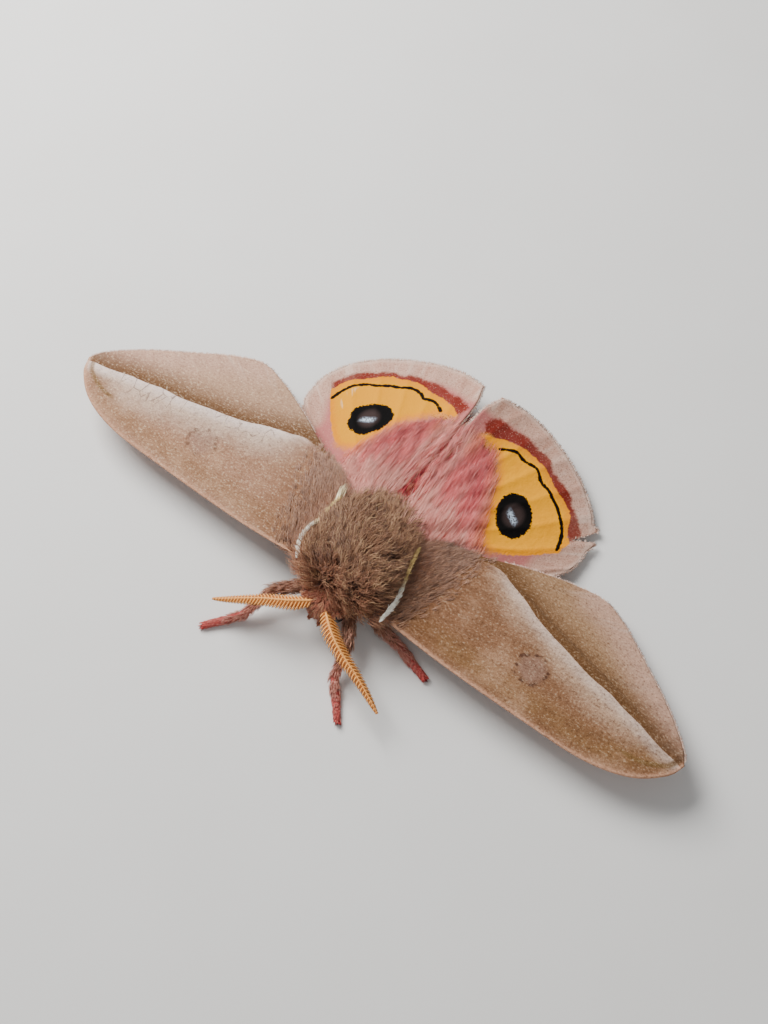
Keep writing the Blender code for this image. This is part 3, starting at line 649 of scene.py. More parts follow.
def pale_band(base, colour, w):
    """The band, its whitest crest along the fold, and the dark streak near the tip. On the right wing band and
    crest are painted brighter, a painted sheen.
    """
    # Painted sheen: the band and its crest are painted brighter on the right wing.
    pale = base.colour(paint(188, 154, 128)).blend(paint(212, 184, 164), w.right)
    colour = colour.blend(pale, w.band * (0.65 + w.mottle * 0.4))
    crest = w.past_fold.rise(-1.7, -0.1) * w.before * w.from_root.rise(8.0, 13.0)
    crest = crest * (0.15 + w.mottle * 0.9) * (0.48 + w.right * 0.52)
    colour = colour.blend(paint(244, 224, 216), crest)
    streak = (w.from_front + w.from_root * 0.31 - 12.5).size().rise(0.35, 0.08) * w.from_root.rise(31.5, 33.0)
    return colour.blend(paint(112, 84, 48), streak * w.from_margin.rise(0.3, 0.9) * 0.75)


# %% Behind the fold
def behind_fold(base, colour, w):
    """A tan ground that is rosier at the margin, pale rays, and a dark strip along the fold."""
    behind = w.past_fold.rise(-0.03, 0.03)
    rays = base.noise(base.on_sheet((0.06, 1.3, 0.0)), 1.0, 2.0, 0.6)
    # Painted light: the ground behind the fold is painted lighter on the right wing, for the stronger light
    # there.
    ground = base.colour(paint(154, 119, 88)).blend(paint(172, 136, 110), w.right)
    colour = colour.blend(ground.blend(paint(190, 150, 128), w.from_margin.rise(5.0, 0.5)), behind)
    rays = rays.rise(0.54, 0.68) * w.from_margin.rise(6.5, 1.5)
    colour = colour.blend(paint(214, 186, 168), behind * rays * 0.4)
    return colour.blend(paint(92, 60, 30), behind * w.past_fold.rise(4.2, 0.1) * 0.9)


# %% Cracks, ring spot and grains
def cracks_and_ring(base, colour, w):
    """Fine cracks in the pale scales of the right wing, and a ring spot with dark dots."""
    crack = base.node("ShaderNodeTexVoronoi", {"feature": "DISTANCE_TO_EDGE"},
                      {"Vector": base.in_mm((1.0, 0.55, 1.0)), "Scale": 0.75})
    patchy = base.noise(base.in_mm(), 0.5, 1.0).rise(0.5, 0.62)
    colour = colour.blend(paint(98, 72, 60), crack.rise(0.05, 0.0) * patchy * w.band * w.right * 0.7)
    dots = base.noise(base.in_mm(), 1.5, 2.0).rise(0.46, 0.58)
    edge = w.ring * 0.93 + (w.mottle - 0.5) * 0.5
    colour = colour.blend(paint(140, 110, 98), edge.rise(1.1, 0.6) * (0.5 - w.right * 0.1))
    rim = (edge - 0.95).size().rise(0.2, 0.04) * (0.12 + dots * 0.8) * (1 - w.right * 0.4)
    return colour.blend(paint(76, 48, 36), rim)


def grains(base, colour, w):
    """Single scales that are darker or lighter than the rest."""
    grain = base.noise(base.in_mm(FLAT_SCALES), 4.4, 4.0, 0.8)
    # Painted sheen: the right wing gets fewer dark grains and more light ones.
    colour = colour.blend(paint(78, 50, 30), grain.rise(0.49, 0.3) * (0.85 - w.right * 0.3))
    light = grain.rise(0.52, 0.7) * (0.36 + w.right * 0.25 + w.band * 0.25)
    return colour.blend(paint(234, 206, 172), light)


# %% Paint the forewing
def forewing_colour(base):
    w = forewing_masks(base)
    colour = pale_band(base, forewing_ground(base, w), w)
    colour = behind_fold(base, colour, w)
    colour = colour.blend(paint(202, 150, 120), w.from_front.rise(0.6, 0.1) * 0.75)
    colour = grains(base, cracks_and_ring(base, colour, w), w)
    return colour.blend(paint(186, 144, 130), w.under * 0.7)


def scale_relief(base):
    """Rows of tiny scales, and a slight unevenness under them."""
    rows = base.noise(base.in_mm((0.6, 1.0, 1.0)), 7.0, 2.0, 0.6)
    return rows + base.noise(base.in_mm(), 1.3, 2.0) * 1.5


forewing_finish, base = new_finish("forewing_scales")
lay_on(forewing_finish, forewing_colour(base), 0.8, scale_relief(base), 0.06, Specular_IOR_Level=0.2)


# %% [markdown]
# ## The hindwing's finish
#
# The colours lie over one another as glazes do: grey-pink first, the rose of the hairy root, then the
# red-brown band, the yellow field, the black line and the eyespot. Each edge is shaken by a fine noise,
# because it is made of scales.

# %% What the hindwing's coats of paint share
def hindwing_masks(base):
    """The distances, the side and the noises, by name."""
    w = SimpleNamespace()
    w.field, w.black, w.band = base.field("bands")
    w.eye, w.from_margin, w.rearward = base.field("spots")
    w.out, w.round_root, w.under = base.field("sheet")
    w.eye_x, w.eye_y, w.from_middle = base.field("local")
    w.right = base.field("side")[0]
    w.fine = base.noise(base.in_mm(), 6.0, 2.0, 0.6)
    w.shake = base.noise(base.in_mm(), 2.6, 2.0, 0.6) - 0.5
    w.cloud = base.noise(base.in_mm(), 0.4, 2.0)
    w.ribs = base.noise(base.on_sheet((0.1, 1.1, 0.0)), 1.0, 2.0, 0.7)
    return w


# %% Ground, margin and band
def hindwing_ground(base, w):
    """Grey-pink, rosier at the root, with a paler, ribbed margin."""
    colour = base.colour(paint(180, 108, 102))
    colour = colour.blend(paint(222, 104, 96), w.out.rise(17.5, 12.0) * w.round_root.rise(10.0, 14.5))
    margin = w.from_margin.rise(3.6, 2.0)
    colour = colour.blend(paint(196, 154, 134), margin)
    colour = colour.blend(paint(148, 108, 92), margin * w.fine.rise(0.5, 0.36) * 0.6)
    colour = colour.blend(paint(168, 118, 98), margin * w.ribs.rise(0.5, 0.36) * 0.4)
    pale_ribs = w.from_margin.rise(3.0, 1.0) * w.ribs.rise(0.54, 0.7) * 0.35
    colour = colour.blend(paint(236, 212, 194), pale_ribs)
    return colour.blend(paint(214, 184, 166), w.from_margin.rise(0.6, 0.1) * 0.5)


def red_band(base, colour, w):
    """The red-brown band, a golden patch at the rear corner, and fine dark and light scales."""
    edge = w.band + w.shake * 0.7 + (w.ribs - 0.5) * 0.8 + 0.1
    colour = colour.blend(paint(116, 38, 28), edge.rise(-0.2, 0.35) * (0.75 + w.cloud * 0.35))
    golden = near(w.from_middle, w.rearward, (3.4, 21.2), (1.9, 1.5))
    colour = colour.blend(paint(226, 150, 70), golden.rise(0.25, 0.9) * 0.8)
    colour = colour.blend(paint(70, 36, 22), golden.rise(0.2, 0.6) * w.fine.rise(0.47, 0.38))
    colour = colour.blend(paint(90, 50, 40), w.fine.rise(0.42, 0.3) * 0.25)
    return colour.blend(paint(245, 215, 190), w.fine.rise(0.58, 0.74) * 0.3)


# %% Yellow field
def yellow_field(base, colour, w):
    """The field: crisp at the line, soft where it goes under the rose hair, worn on the right wing."""
    crisp = (w.field + w.shake * 0.4 + (w.ribs - 0.5) * 0.5 + 0.2).rise(-0.06, 0.1)
    soft = (w.field + w.shake * 1.2 + 0.3).rise(-0.9, 0.9)
    hairy = w.from_margin.rise(5.0, 7.5) * (w.from_middle * -1).rise(-13.0, -11.0)
    yellow = crisp * (1 - hairy) + soft * hairy
    colour = colour.blend(base.colour(paint(246, 164, 0)).blend(paint(226, 150, 0), w.right), yellow)
    colour = colour.blend(paint(230, 122, 8), yellow * (w.field + w.shake).rise(0.9, -0.1) * 0.4)
    colour = colour.blend(paint(226, 142, 0), yellow * w.cloud.rise(0.5, 0.75) * 0.4)
    worn = near(w.from_middle, w.rearward, (14.0, 17.6), (1.6, 2.2)).rise(0.0, 0.5) * w.right
    return colour.blend(paint(236, 196, 150), worn * w.ribs.rise(0.53, 0.6) * yellow * 0.8)


# %% Black line and eyespot
def black_line(base, colour, w):
    teeth = w.shake * 0.3 + (w.ribs - 0.5) * 0.25
    return colour.blend(paint(20, 12, 8), (w.black + teeth).rise(0.27, 0.16))


def eyespot(base, colour, w):
    """A black spot with a grey heart and a short bluish-white streak."""
    spot = (w.eye + w.shake * 0.55 + (w.fine - 0.5) * 0.5).rise(-0.05, 0.06)
    colour = colour.blend(paint(13, 10, 9), spot)
    heart = (w.eye_x * w.eye_x + w.eye_y * w.eye_y).rise(0.45, 0.06)
    colour = colour.blend(paint(62, 50, 48), heart * spot * 0.9)
    streak = (w.eye_x * 0.4 + w.eye_y + 0.1).size().rise(0.24, 0.02) * w.eye_x.size().rise(0.46, 0.14)
    return colour.blend(paint(196, 214, 232), streak * w.fine.rise(0.38, 0.56) * 0.95)


# %% Paint the hindwing
hindwing_finish, base = new_finish("hindwing_scales")
masks = hindwing_masks(base)
colour = hindwing_ground(base, masks)
for glaze in (red_band, yellow_field, black_line, eyespot):
    colour = glaze(base, colour, masks)
colour = colour.blend(paint(190, 138, 120), masks.under * 0.75)
lay_on(hindwing_finish, colour, 0.85, scale_relief(base), 0.05, Specular_IOR_Level=0.12)


# %% [markdown]
# ## The shapes under the wool
#
# Under its wool a moth is a hard shell: a barrel of a thorax, a small head, a soft ringed abdomen and jointed
# legs. Each is a ball or a tube of the solids' own stations, drawn in by the depth of the coat. A station is
# a place from front to rear with its half width, its lowest and its highest point.

# %% Stations of the body
THORAX = [(-5.6, 2.4, 3.6, 5.6), (-5.1, 4.1, 2.8, 6.8), (-4.2, 5.1, 2.2, 8.0), (-2.4, 5.6, 1.9, 8.8),
          (0.4, 5.4, 1.8, 9.1), (3.4, 4.9, 1.8, 8.7), (6.0, 3.9, 2.0, 7.6), (7.8, 2.6, 2.5, 6.3),
          (8.7, 1.2, 3.2, 5.0)]
HEAD = [(-8.0, 0.8, 2.7, 4.1), (-7.5, 1.4, 2.1, 4.8), (-6.7, 1.9, 1.8, 5.3), (-5.6, 2.0, 1.8, 5.4),
        (-4.2, 1.8, 2.0, 5.2)]
ABDOMEN_START, ABDOMEN_END = 6.8, 23.2
ABDOMEN_RADIUS = [(0.0, 1.2), (0.05, 2.3), (0.2, 2.55), (0.45, 2.5), (0.7, 2.05), (0.88, 1.35), (1.0, 0.35)]
SECTION_POWER = 2.25


def abdomen_stations():
    made = []
    for share, radius in ABDOMEN_RADIUS:
        middle = 2.9 - 0.65 * share
        made.append((ABDOMEN_START + (ABDOMEN_END - ABDOMEN_START) * share, radius * 1.08,
                     middle - radius * 0.95, middle + radius * 0.95))
    return made


for name, stations in (("thorax", THORAX), ("head", HEAD), ("abdomen", abdomen_stations())):
    half_widths = [station[1] for station in stations]
    print(f"{name}: {stations[-1][0] - stations[0][0]:.1f} mm long, {2 * max(half_widths):.1f} mm wide")

# %% [markdown]
# ## Balls whose faces keep their order
#
# The sphere primitive would do for a ball, but it hands out its faces in another order each time that it
# runs, and the coat's tufts are drawn from faces. So a ball's rings are laid on its stations one by one, with
# a point at each end, and the mesh comes out the same on every run.

# %% A mesh from arrays
def mesh_of(name, points, faces):
    """A mesh object from arrays of points and triangles."""
    mesh = bpy.data.meshes.new(name)
    mesh.vertices.add(len(points))
    mesh.vertices.foreach_set("co", points.astype(np.float32).ravel())
    mesh.loops.add(faces.size)
    mesh.loops.foreach_set("vertex_index", faces.astype(np.int32).ravel())
    mesh.polygons.add(len(faces))
    mesh.polygons.foreach_set("loop_start", np.arange(0, faces.size, 3, dtype=np.int32))
    mesh.polygons.foreach_set("use_smooth", np.ones(len(faces), bool))
    mesh.update(calc_edges=True)
    piece = bpy.data.objects.new(name, mesh)
    bpy.context.scene.collection.objects.link(piece)
    return piece


# %% Balls of thorax, head and abdomen
BALL_RINGS, BALL_SEGMENTS = 40, 56
THINNEST = 0.1


def add_ball(name, stations, inside):
    """A ball whose rings are laid on the stations, drawn in by inside, with a point at each end."""
    path = smooth_path(stations, 80)
    middle_y = (path[0, 0] + path[-1, 0]) / 2
    shrink = 1 - 2 * inside / (path[-1, 0] - path[0, 0])
    turn = np.arange(BALL_SEGMENTS) * 2 * math.pi / BALL_SEGMENTS
    c, s = (np.sign(wave) * np.abs(wave) ** (2 / SECTION_POWER) for wave in (np.cos(turn), np.sin(turn)))
    points = []
    for ring in range(BALL_RINGS + 1):
        y, half, low, high = at(path, ring / BALL_RINGS)
        y, middle_z = middle_y + (y - middle_y) * shrink, (low + high) / 2
        if ring in (0, BALL_RINGS):
            points.append([[0.0, y, middle_z]])
            continue
        z = middle_z + max(THINNEST, (high - low) / 2 - inside) * s
        points.append(np.stack([max(THINNEST, half - inside) * c, y + 0 * z, z], -1))
    rings = 1 + np.arange((BALL_RINGS - 1) * BALL_SEGMENTS).reshape(-1, BALL_SEGMENTS)
    beside = np.roll(rings, -1, axis=1)
    a, b, d, e = rings[:-1], beside[:-1], rings[1:], beside[1:]
    tip, end = 0 * rings[0], 0 * rings[0] + rings[-1, -1] + 1
    faces = [np.stack([a, d, e], -1), np.stack([a, e, b], -1), np.stack([tip, rings[0], beside[0]], -1),
             np.stack([end, beside[-1], rings[-1]], -1)]
    return mesh_of(name, np.concatenate(points), np.concatenate([part.reshape(-1, 3) for part in faces]))


thorax = add_ball("thorax_ball", THORAX, 0.55)
head = add_ball("head_ball", HEAD, 0.25)
abdomen = add_ball("abdomen_ball", abdomen_stations(), 0.35)
for ball in (thorax, head, abdomen):
    print(f"{ball.name}: {len(ball.data.polygons)} triangles")

# %% [markdown]
# ## Legs
#
# A moth's leg is a row of tubes: a thick thigh, a thinner shin and a foot of five short segments. A curve
# with a bevel follows the joints as a wire would, and takes a radius at each point, so one curve makes a leg.

# %% Tubes
def add_tube(path, radii, resolution=3):
    """A round tube along points, with a radius at each, made a mesh with closed ends."""
    deselect()
    bpy.ops.curve.primitive_bezier_curve_add()
    wire = bpy.context.object
    wire.data.splines.clear()
    spline = wire.data.splines.new("POLY")
    spline.points.add(len(path) - 1)
    for point, place, radius in zip(spline.points, path, radii):
        point.co = (*place, 1.0)
        point.radius = radius
    wire.data.dimensions = "3D"
    wire.data.bevel_depth = 1.0
    wire.data.bevel_resolution = resolution
    wire.data.use_fill_caps = True
    bpy.ops.object.convert(target="MESH")
    return bpy.context.object


def join(pieces):
    deselect()
    for piece in pieces:
        piece.select_set(True)
    bpy.context.view_layer.objects.active = pieces[0]
    bpy.ops.object.join()
    return bpy.context.object


# %% Leg joints
LEGS = {
    "leg_fore_left": [(2.1, -4.0, 1.9), (4.8, -8.2, 2.7), (5.7, -12.0, 1.0), (8.9, -15.6, 0.3)],
    "leg_fore_right": [(-2.1, -4.0, 2.0), (-5.9, -8.3, 2.9), (-7.2, -12.1, 1.0), (-10.4, -15.9, 0.3)],
    "leg_mid_left": [(3.2, -2.4, 2.3), (6.6, -4.6, 2.7), (9.6, -4.7, 1.0), (13.7, -5.8, 0.3)],
    "leg_mid_right": [(-3.2, -1.4, 2.3), (-6.6, -2.2, 2.7), (-9.4, -1.2, 1.0), (-13.2, -0.4, 0.3)],
    "leg_hind_left": [(3.0, 2.6, 2.1), (5.8, 5.2, 2.3), (7.6, 8.6, 1.0), (9.6, 12.2, 0.3)],
    "leg_hind_right": [(-3.0, 2.6, 2.1), (-5.9, 5.0, 2.3), (-7.9, 8.2, 1.0), (-10.2, 11.6, 0.3)],
}
HEEL_SHARE, HEEL_Z = 0.4, 0.48
FOOT_SEGMENTS = 5
THIGH_RADII, SHIN_RADII, TOE_RADIUS = [0.6, 0.68, 0.54], [0.5, 0.46], 0.3
SEGMENT_RADII = ((0.12, 0.48), (0.75, 0.54))


def leg_course(joints):
    """Places and skin radii along a leg: thigh, shin and a foot of five segments."""
    root, knee, ankle, toe = (np.array(joint) for joint in joints)
    heel = ankle + (toe - ankle) * HEEL_SHARE
    heel[2] = HEEL_Z
    places = [root, root + (knee - root) * 0.5, knee, knee + (ankle - knee) * 0.5, ankle]
    radii = THIGH_RADII + SHIN_RADII
    for segment in range(FOOT_SEGMENTS):
        for share, radius in SEGMENT_RADII:
            way = (segment + share) / FOOT_SEGMENTS
            places.append(heel + (toe - heel) * way)
            radii.append(radius * (1 - 0.2 * way))
    return np.array(places + [toe]), np.array(radii + [TOE_RADIUS])


for name, joints in LEGS.items():
    course = leg_course(joints)[0]
    print(f"{name}: {np.linalg.norm(np.diff(course, axis=0), axis=1).sum():.1f} mm long")


# %% [markdown]
# ## Where tufts grow
#
# Tufts grow from points drawn at random over a surface, so that every square millimetre has its share. The
# draw is seeded, and so the coat is the same each time that the script runs.

# %% Draw roots on a surface
def roots_on(piece, count, seed, allowed=None):
    """Random points on a mesh with their normals, kept where allowed says so."""
    mesh = piece.data
    mesh.calc_loop_triangles()
    points = np.array([v.co for v in mesh.vertices])
    corners = np.array([t.vertices for t in mesh.loop_triangles])
    a, b, c = (points[corners[:, k]] for k in range(3))
    cross = np.cross(b - a, c - a)
    area = np.linalg.norm(cross, axis=1)
    middle = (a + b + c) / 3
    face_normal = cross / np.maximum(area, 1e-12)[:, None]
    weight = area * (allowed(middle, face_normal) if allowed else 1.0)
    draw = np.random.default_rng(seed)
    pick = draw.choice(len(area), count, p=weight / weight.sum())
    u, v = draw.random(count), draw.random(count)
    over = u + v > 1
    u, v = np.where(over, 1 - u, u), np.where(over, 1 - v, v)
    normals = np.array([v.normal for v in mesh.vertices])
    soft = normals[corners[pick]].mean(1)
    soft /= np.linalg.norm(soft, axis=1)[:, None]
    places = a[pick] + (b - a)[pick] * u[:, None] + (c - a)[pick] * v[:, None]
    return places, soft


for piece, name in ((thorax, "thorax"), (head, "head")):
    tries, _ = roots_on(piece, 2, 1)
    print(f"two roots on the {name}:", tries.round(1).tolist())


# %% [markdown]
# ## How a tuft is built
#
# Particle hair is lost when a model is exported, so every hair here is a solid: a thin three-sided spike in a
# few lengths, with a closed root. Hairs of one tuft share their curl and lean together towards its tip,
# which gives wool its fine locks. A hundred thousand of them are no work for a hand, so arrays place them.
#
# A tuft's look is a row of numbers: each is its count of hairs, spread how far apart they start, stray how
# freely they lean, lift and bend how far they rise and fall, curl and turns their waves, pull how they
# gather towards the tip, and tints how much their colours differ.

# %% One hair
def hair_faces(rings):
    """Triangles of one hair: its root cap, its sides and its tip."""
    faces = [(0, 1, 2)]
    for ring in range(rings - 1):
        for k in range(3):
            a, b = ring * 3 + k, ring * 3 + (k + 1) % 3
            faces += [(a, a + 3, b + 3), (a, b + 3, b)]
    last, tip = (rings - 1) * 3, rings * 3
    faces += [(last + k, tip, last + (k + 1) % 3) for k in range(3)]
    return np.array(faces)


HAIR_FLOOR = 0.03


def spikes(name, centre, side, up, thick, flatness):
    """Closed three-sided spikes along rows of centre points, with a half width at each point."""
    count, rings = len(centre), centre.shape[1] - 1
    ring_of, corner_of = np.repeat(np.arange(rings), 3), np.tile(np.arange(3), rings)
    shape = np.array([(1.0, 0.0), (0.0, flatness), (-1.0, 0.0)])
    ring = centre[:, ring_of, :] + side[:, None, :] * (thick[:, ring_of] * shape[corner_of, 0])[..., None]
    ring = ring + up[:, None, :] * (thick[:, ring_of] * shape[corner_of, 1])[..., None]
    points = np.concatenate([ring, centre[:, -1:, :]], 1)
    points[..., 2] = np.maximum(points[..., 2], HAIR_FLOOR)
    faces = (hair_faces(rings)[None] + (np.arange(count) * points.shape[1])[:, None, None]).reshape(-1, 3)
    return mesh_of(name, points.reshape(-1, 3), faces)


print("triangles of a hair in 2, 3 and 4 lengths:", [len(hair_faces(rings)) for rings in (2, 3, 4)])

# %% Courses of the hairs of many tufts
PLAIN_HAIR = {"each": 6, "width": 0.11, "spread": 0.14, "lift": 0.42, "curl": 0.1, "turns": 1.4, "bend": 6.0,
              "stray": 0.16, "tints": 0.16, "rings": 4, "pull": 0.5}
ROUND, QUARTER = 6.28, 1.57
ROOT_DEPTH = 0.12


def hair_courses(draw, hair, roots, normals, lies, length):
    """Each hair's root, centre line, side, up and half width. Random draws are made in one fixed order."""
    tufts = len(roots)
    of = np.repeat(np.arange(tufts), hair.each)
    count, up = len(of), normals[of]
    lie = lies[of] + draw.normal(0, hair.stray, (count, 3)) + draw.normal(0, hair.stray, (tufts, 3))[of]
    lie = unit(lie)
    lie = unit(lie - (lie * up).sum(1)[:, None] * up)
    side = np.cross(lie, up)
    long = (np.broadcast_to(length, tufts)[of] * draw.uniform(0.7, 1.12, count))[:, None]
    beside, along = draw.normal(0, hair.spread, (count, 1)), draw.normal(0, hair.spread, (count, 1))
    start = roots[of] + side * beside + lie * along
    phase = (draw.uniform(0, ROUND, tufts)[of] + draw.normal(0, 0.5, count))[:, None]
    rate = (draw.uniform(0.7, 1.3, tufts)[of] * hair.turns * ROUND)[:, None]
    steps = np.linspace(0, 1, hair.rings + 1)[None, :]
    raised = long * np.broadcast_to(hair.lift, tufts)[of][:, None]
    rise = raised * draw.uniform(0.6, 1.3, (count, 1)) * np.sin(QUARTER * steps) - ROOT_DEPTH * (1 - steps)
    rise = rise - (long * steps) ** 2 / (2 * hair.bend)
    rise = rise + hair.curl * 0.7 * np.cos(rate * steps + phase) * steps
    sway = hair.curl * np.sin(rate * steps + phase) * np.sqrt(steps)
    gather = -hair.pull * steps[..., None] * (start - roots[of])[:, None, :]
    centre = start[:, None, :] + lie[:, None, :] * (long * steps)[..., None] + gather
    centre = centre + up[:, None, :] * rise[..., None] + side[:, None, :] * sway[..., None]
    broad = np.broadcast_to(hair.width, tufts)[of][:, None]
    thick = broad / 2 * draw.uniform(0.7, 1.25, (count, 1)) * (1 - steps**1.8)
    return start, centre, side, up, thick


# %% Grow tufts
BAKE_PATCH = 0.0026
coat = []


def grow(name, finish, roots, normals, lies, length, unwrap, marks, seed, **changes):
    """Tufts of hairs. lies is the way each tuft lies, unwrap gives a root's place on the flat skin, marks
    gives the attributes of the coat's pattern at roots, and changes are what differs from plain hair."""
    hair = SimpleNamespace(**{**PLAIN_HAIR, **changes})
    draw = np.random.default_rng(seed)
    start, centre, side, up, thick = hair_courses(draw, hair, roots, normals, lies, length)
    piece = spikes(name, centre, side, up, thick, 0.75)
    tufts, count, each_points = len(roots), len(start), 3 * hair.rings + 1
    along = np.tile(np.r_[np.repeat(np.linspace(0, 1, hair.rings + 1)[:-1], 3), 1.0], count)
    tint = np.repeat(draw.normal(0.5, hair.tints, tufts), hair.each) + draw.normal(0, 0.8 * hair.tints, count)
    strand = [along, np.repeat(np.clip(tint, 0, 1), each_points), np.repeat(draw.random(count), each_points)]
    keep(piece.data, "strand", strand)
    for key, columns in marks(start).items():
        keep(piece.data, key, [np.repeat(column, each_points) for column in columns])
    patch = np.repeat(unwrap(start), each_points, axis=0)
    corner = np.tile(np.r_[np.tile(np.arange(3), hair.rings), 1], count)
    patch[:, 0] += BAKE_PATCH * (corner / 2 - 0.5)
    patch[:, 1] += BAKE_PATCH * (along - 0.5)
    loops = np.empty(len(piece.data.loops), np.int32)
    piece.data.loops.foreach_get("vertex_index", loops)
    flat = piece.data.uv_layers.new(name="OFBake")
    flat.data.foreach_set("uv", patch[loops].astype(np.float32).ravel())
    coat.append((piece, finish))
    print(f"{name}: {count} hairs in {tufts} tufts")


# %% Unwraps, and tones that don't change
def label_round(start, end, middle_z):
    """Unwraps the body like a label off a bottle: round it, and from its front to its rear."""
    def unwrap(points):
        turn = np.arctan2(points[:, 0], points[:, 2] - middle_z) / (2 * math.pi) + 0.5
        way = (points[:, 1] - start) / (end - start)
        return np.stack([0.02 + 0.96 * turn, 0.02 + 0.96 * np.clip(way, 0, 1)], -1)

    return unwrap


def from_above(points):
    """Unwraps a wing's upper face by its plan, filled out to a square."""
    low, high = points[:, :2].min(0), points[:, :2].max(0)
    return 0.02 + 0.96 * (points[:, :2] - low) / (high - low)


def even_tone(red, rose, pale):
    """The same redness, rosiness and paleness at every root."""
    def tone(points):
        return {"tone": [np.full(len(points), share) for share in (red, rose, pale)]}

    return tone


nape = np.array([[0.0, -4.2, 5.0]])
print("rear of the head on its label:", label_round(-8.0, -4.2, 3.5)(nape)[0].round(2))


# %% [markdown]
# ## The coat's finish
#
# One finish serves the whole coat of body and legs. Each root says how red, how rosy and how pale it is.
# Each hair has its own tint and is golden towards its tip. It is darkest at its root, which is painted shade
# deep in the coat.

# %% Shades of a hair
def hair_shades(base, colour, dark, light, depth):
    """Gives hairs their painted shade at the roots, light tips and single tints."""
    along, tint, _ = base.field("strand")
    # Painted shade: each hair darkens towards its root, where the coat would shade itself.
    colour = colour.blend(dark, along.rise(0.45, 0.0) * depth)
    colour = colour.blend(dark, tint.rise(0.42, 0.12) * 0.6)
    return colour.blend(light, tint.rise(0.5, 0.85) * along.rise(0.1, 0.8) * 0.8)


def coat_colour(base):
    red, rose, pale = base.field("tone")
    colour = base.colour(paint(150, 108, 80))
    colour = colour.blend(paint(182, 114, 84), red)
    colour = colour.blend(paint(208, 66, 74), rose)
    colour = colour.blend(paint(232, 186, 164), pale)
    return colour


def hair_finish(name, ground_of, dark, light, depth, roughness, sheen):
    """A finish for hair over its ground colour. depth is how dark the painted shade at the roots is."""
    finish, base = new_finish(name)
    shaded = hair_shades(base, ground_of(base), dark, light, depth)
    lay_on(finish, shaded, roughness, Sheen_Weight=sheen, Specular_IOR_Level=0.3)
    return finish


# %% Finishes of body, skin and legs
def leg_colour(base):
    shin, foot, toe_share = base.field("tone")
    colour = base.colour(paint(172, 126, 102)).blend(paint(206, 138, 120), shin)
    return colour.blend(paint(196, 106, 96), foot).blend(paint(200, 58, 58), toe_share)


coat_finish = hair_finish("body_coat", coat_colour, paint(84, 52, 34), paint(216, 172, 128), 0.62, 0.62, 0.15)
leg_coat = hair_finish("leg_coat", leg_colour, paint(132, 62, 52), paint(236, 170, 150), 0.25, 0.6, 0.1)
skin_finish, base = new_finish("body_skin")
pores = base.noise(base.in_mm(), 5.0, 3.0)
dim = (0.35 + pores * 0.4) * (1 - base.field("tone")[1] * 0.75)
lay_on(skin_finish, coat_colour(base).blend(paint(60, 40, 28), dim), 0.8, pores, 0.06)

# %% Finishes of the wings' hair and fringes
def rosy_colour(base):
    whitish, golden, deep = base.field("tone")
    rosy = base.colour(paint(242, 124, 122)).blend(paint(246, 182, 164), whitish)
    return rosy.blend(paint(232, 150, 84), golden).blend(paint(210, 84, 88), deep)


def tan_colour(base):
    return coat_colour(base).blend(paint(142, 98, 70), 0.6)


hindwing_coat = hair_finish("hindwing_coat", rosy_colour, paint(200, 88, 84), paint(252, 194, 184),
                            0.35, 0.6, 0.1)
forewing_coat = hair_finish("forewing_coat", tan_colour, paint(80, 50, 32), paint(208, 160, 126),
                            0.55, 0.62, 0.2)
fringe_finish, base = new_finish("margin_fringe")
tint = base.field("strand")[1]
fringe_colour = base.colour(paint(200, 164, 146)).blend(paint(232, 206, 190), tint.rise(0.3, 0.75))
lay_on(fringe_finish, fringe_colour, 0.8, Specular_IOR_Level=0.15)


# %% [markdown]
# ## Wool of the thorax
#
# The thorax of a silk moth is as woolly as a teddy bear. Its wool fans out from the neck and then runs to the
# rear in slow swirls. Combing it by hand would take days, so two functions tell each tuft which way to lie
# and what colour to be, from where it stands.

# %% Tone and lie of the body's coat
def body_tone(points):
    """How red, rosy and pale the coat is at points of the body."""
    x, y, z = points.T
    soft = np.sin(x * 1.7 + y) * 0.5
    red = np.clip((-2.8 + soft - y) / 3.0, 0, 1) * 0.8
    rose = np.clip((y - 7.6 + soft * 0.6) / 1.2, 0, 1) * 0.9
    pale = np.clip((y - 6.0 + soft) / 1.6, 0, 1) * np.clip((9.5 - y) / 1.5, 0, 1) * (z > 4.5) * 0.55
    return {"tone": [red, rose, pale]}


def body_lie(points):
    """The coat fans out from the neck, then runs to the rear in slow swirls."""
    x, y, z = points.T
    swirl = 0.42 * np.sin(0.7 * x + 0.9 * y) + 0.3 * np.sin(1.3 * x - 1.1 * y + 2.0 + z)
    swirl = swirl + 0.25 * np.sin(2.9 * x + 2.1 * y + 1.3 * z)
    fan = np.clip((-0.5 - y) / 4.5, 0, 1) * np.arctan2(x, y + 8.4)
    return np.stack([np.sin(fan + swirl) + 0.04 * x, np.cos(fan + swirl), np.full(len(x), -0.1)], -1)


print("the coat at the neck lies along", body_lie(np.array([[0.0, -4.0, 8.0]]))[0].round(2))

# %% Wool on the thorax
THORAX_PARTS = {"thorax_wool_left": 1, "thorax_wool_right": -1}
THORAX_LABEL = label_round(-5.6, 8.7, 5.4)


def one_side(sign):
    """Allows tufts on one side, and more of them on its upper half."""
    return lambda points, normals: (points[:, 0] * sign > 0) * (1.0 + 1.5 * (normals[:, 2] > 0))


for seed, (name, sign) in enumerate(THORAX_PARTS.items(), 11):
    roots, normals = roots_on(thorax, 1440, seed, one_side(sign))
    grow(name, coat_finish, roots, normals, body_lie(roots), 2.0, THORAX_LABEL, body_tone, seed,
         width=0.12, spread=0.15, lift=0.84, curl=0.19, turns=1.7, bend=5.0)

# %% [markdown]
# ## Eyes and palps
#
# The eyes are round and bulge at the sides of the head, and the palps are two short furry feelers under it.
# An even ball without poles suits an eye, so it is an icosphere, and a palp is a tube. Both are made before
# the fur, because fur grows over their edges.

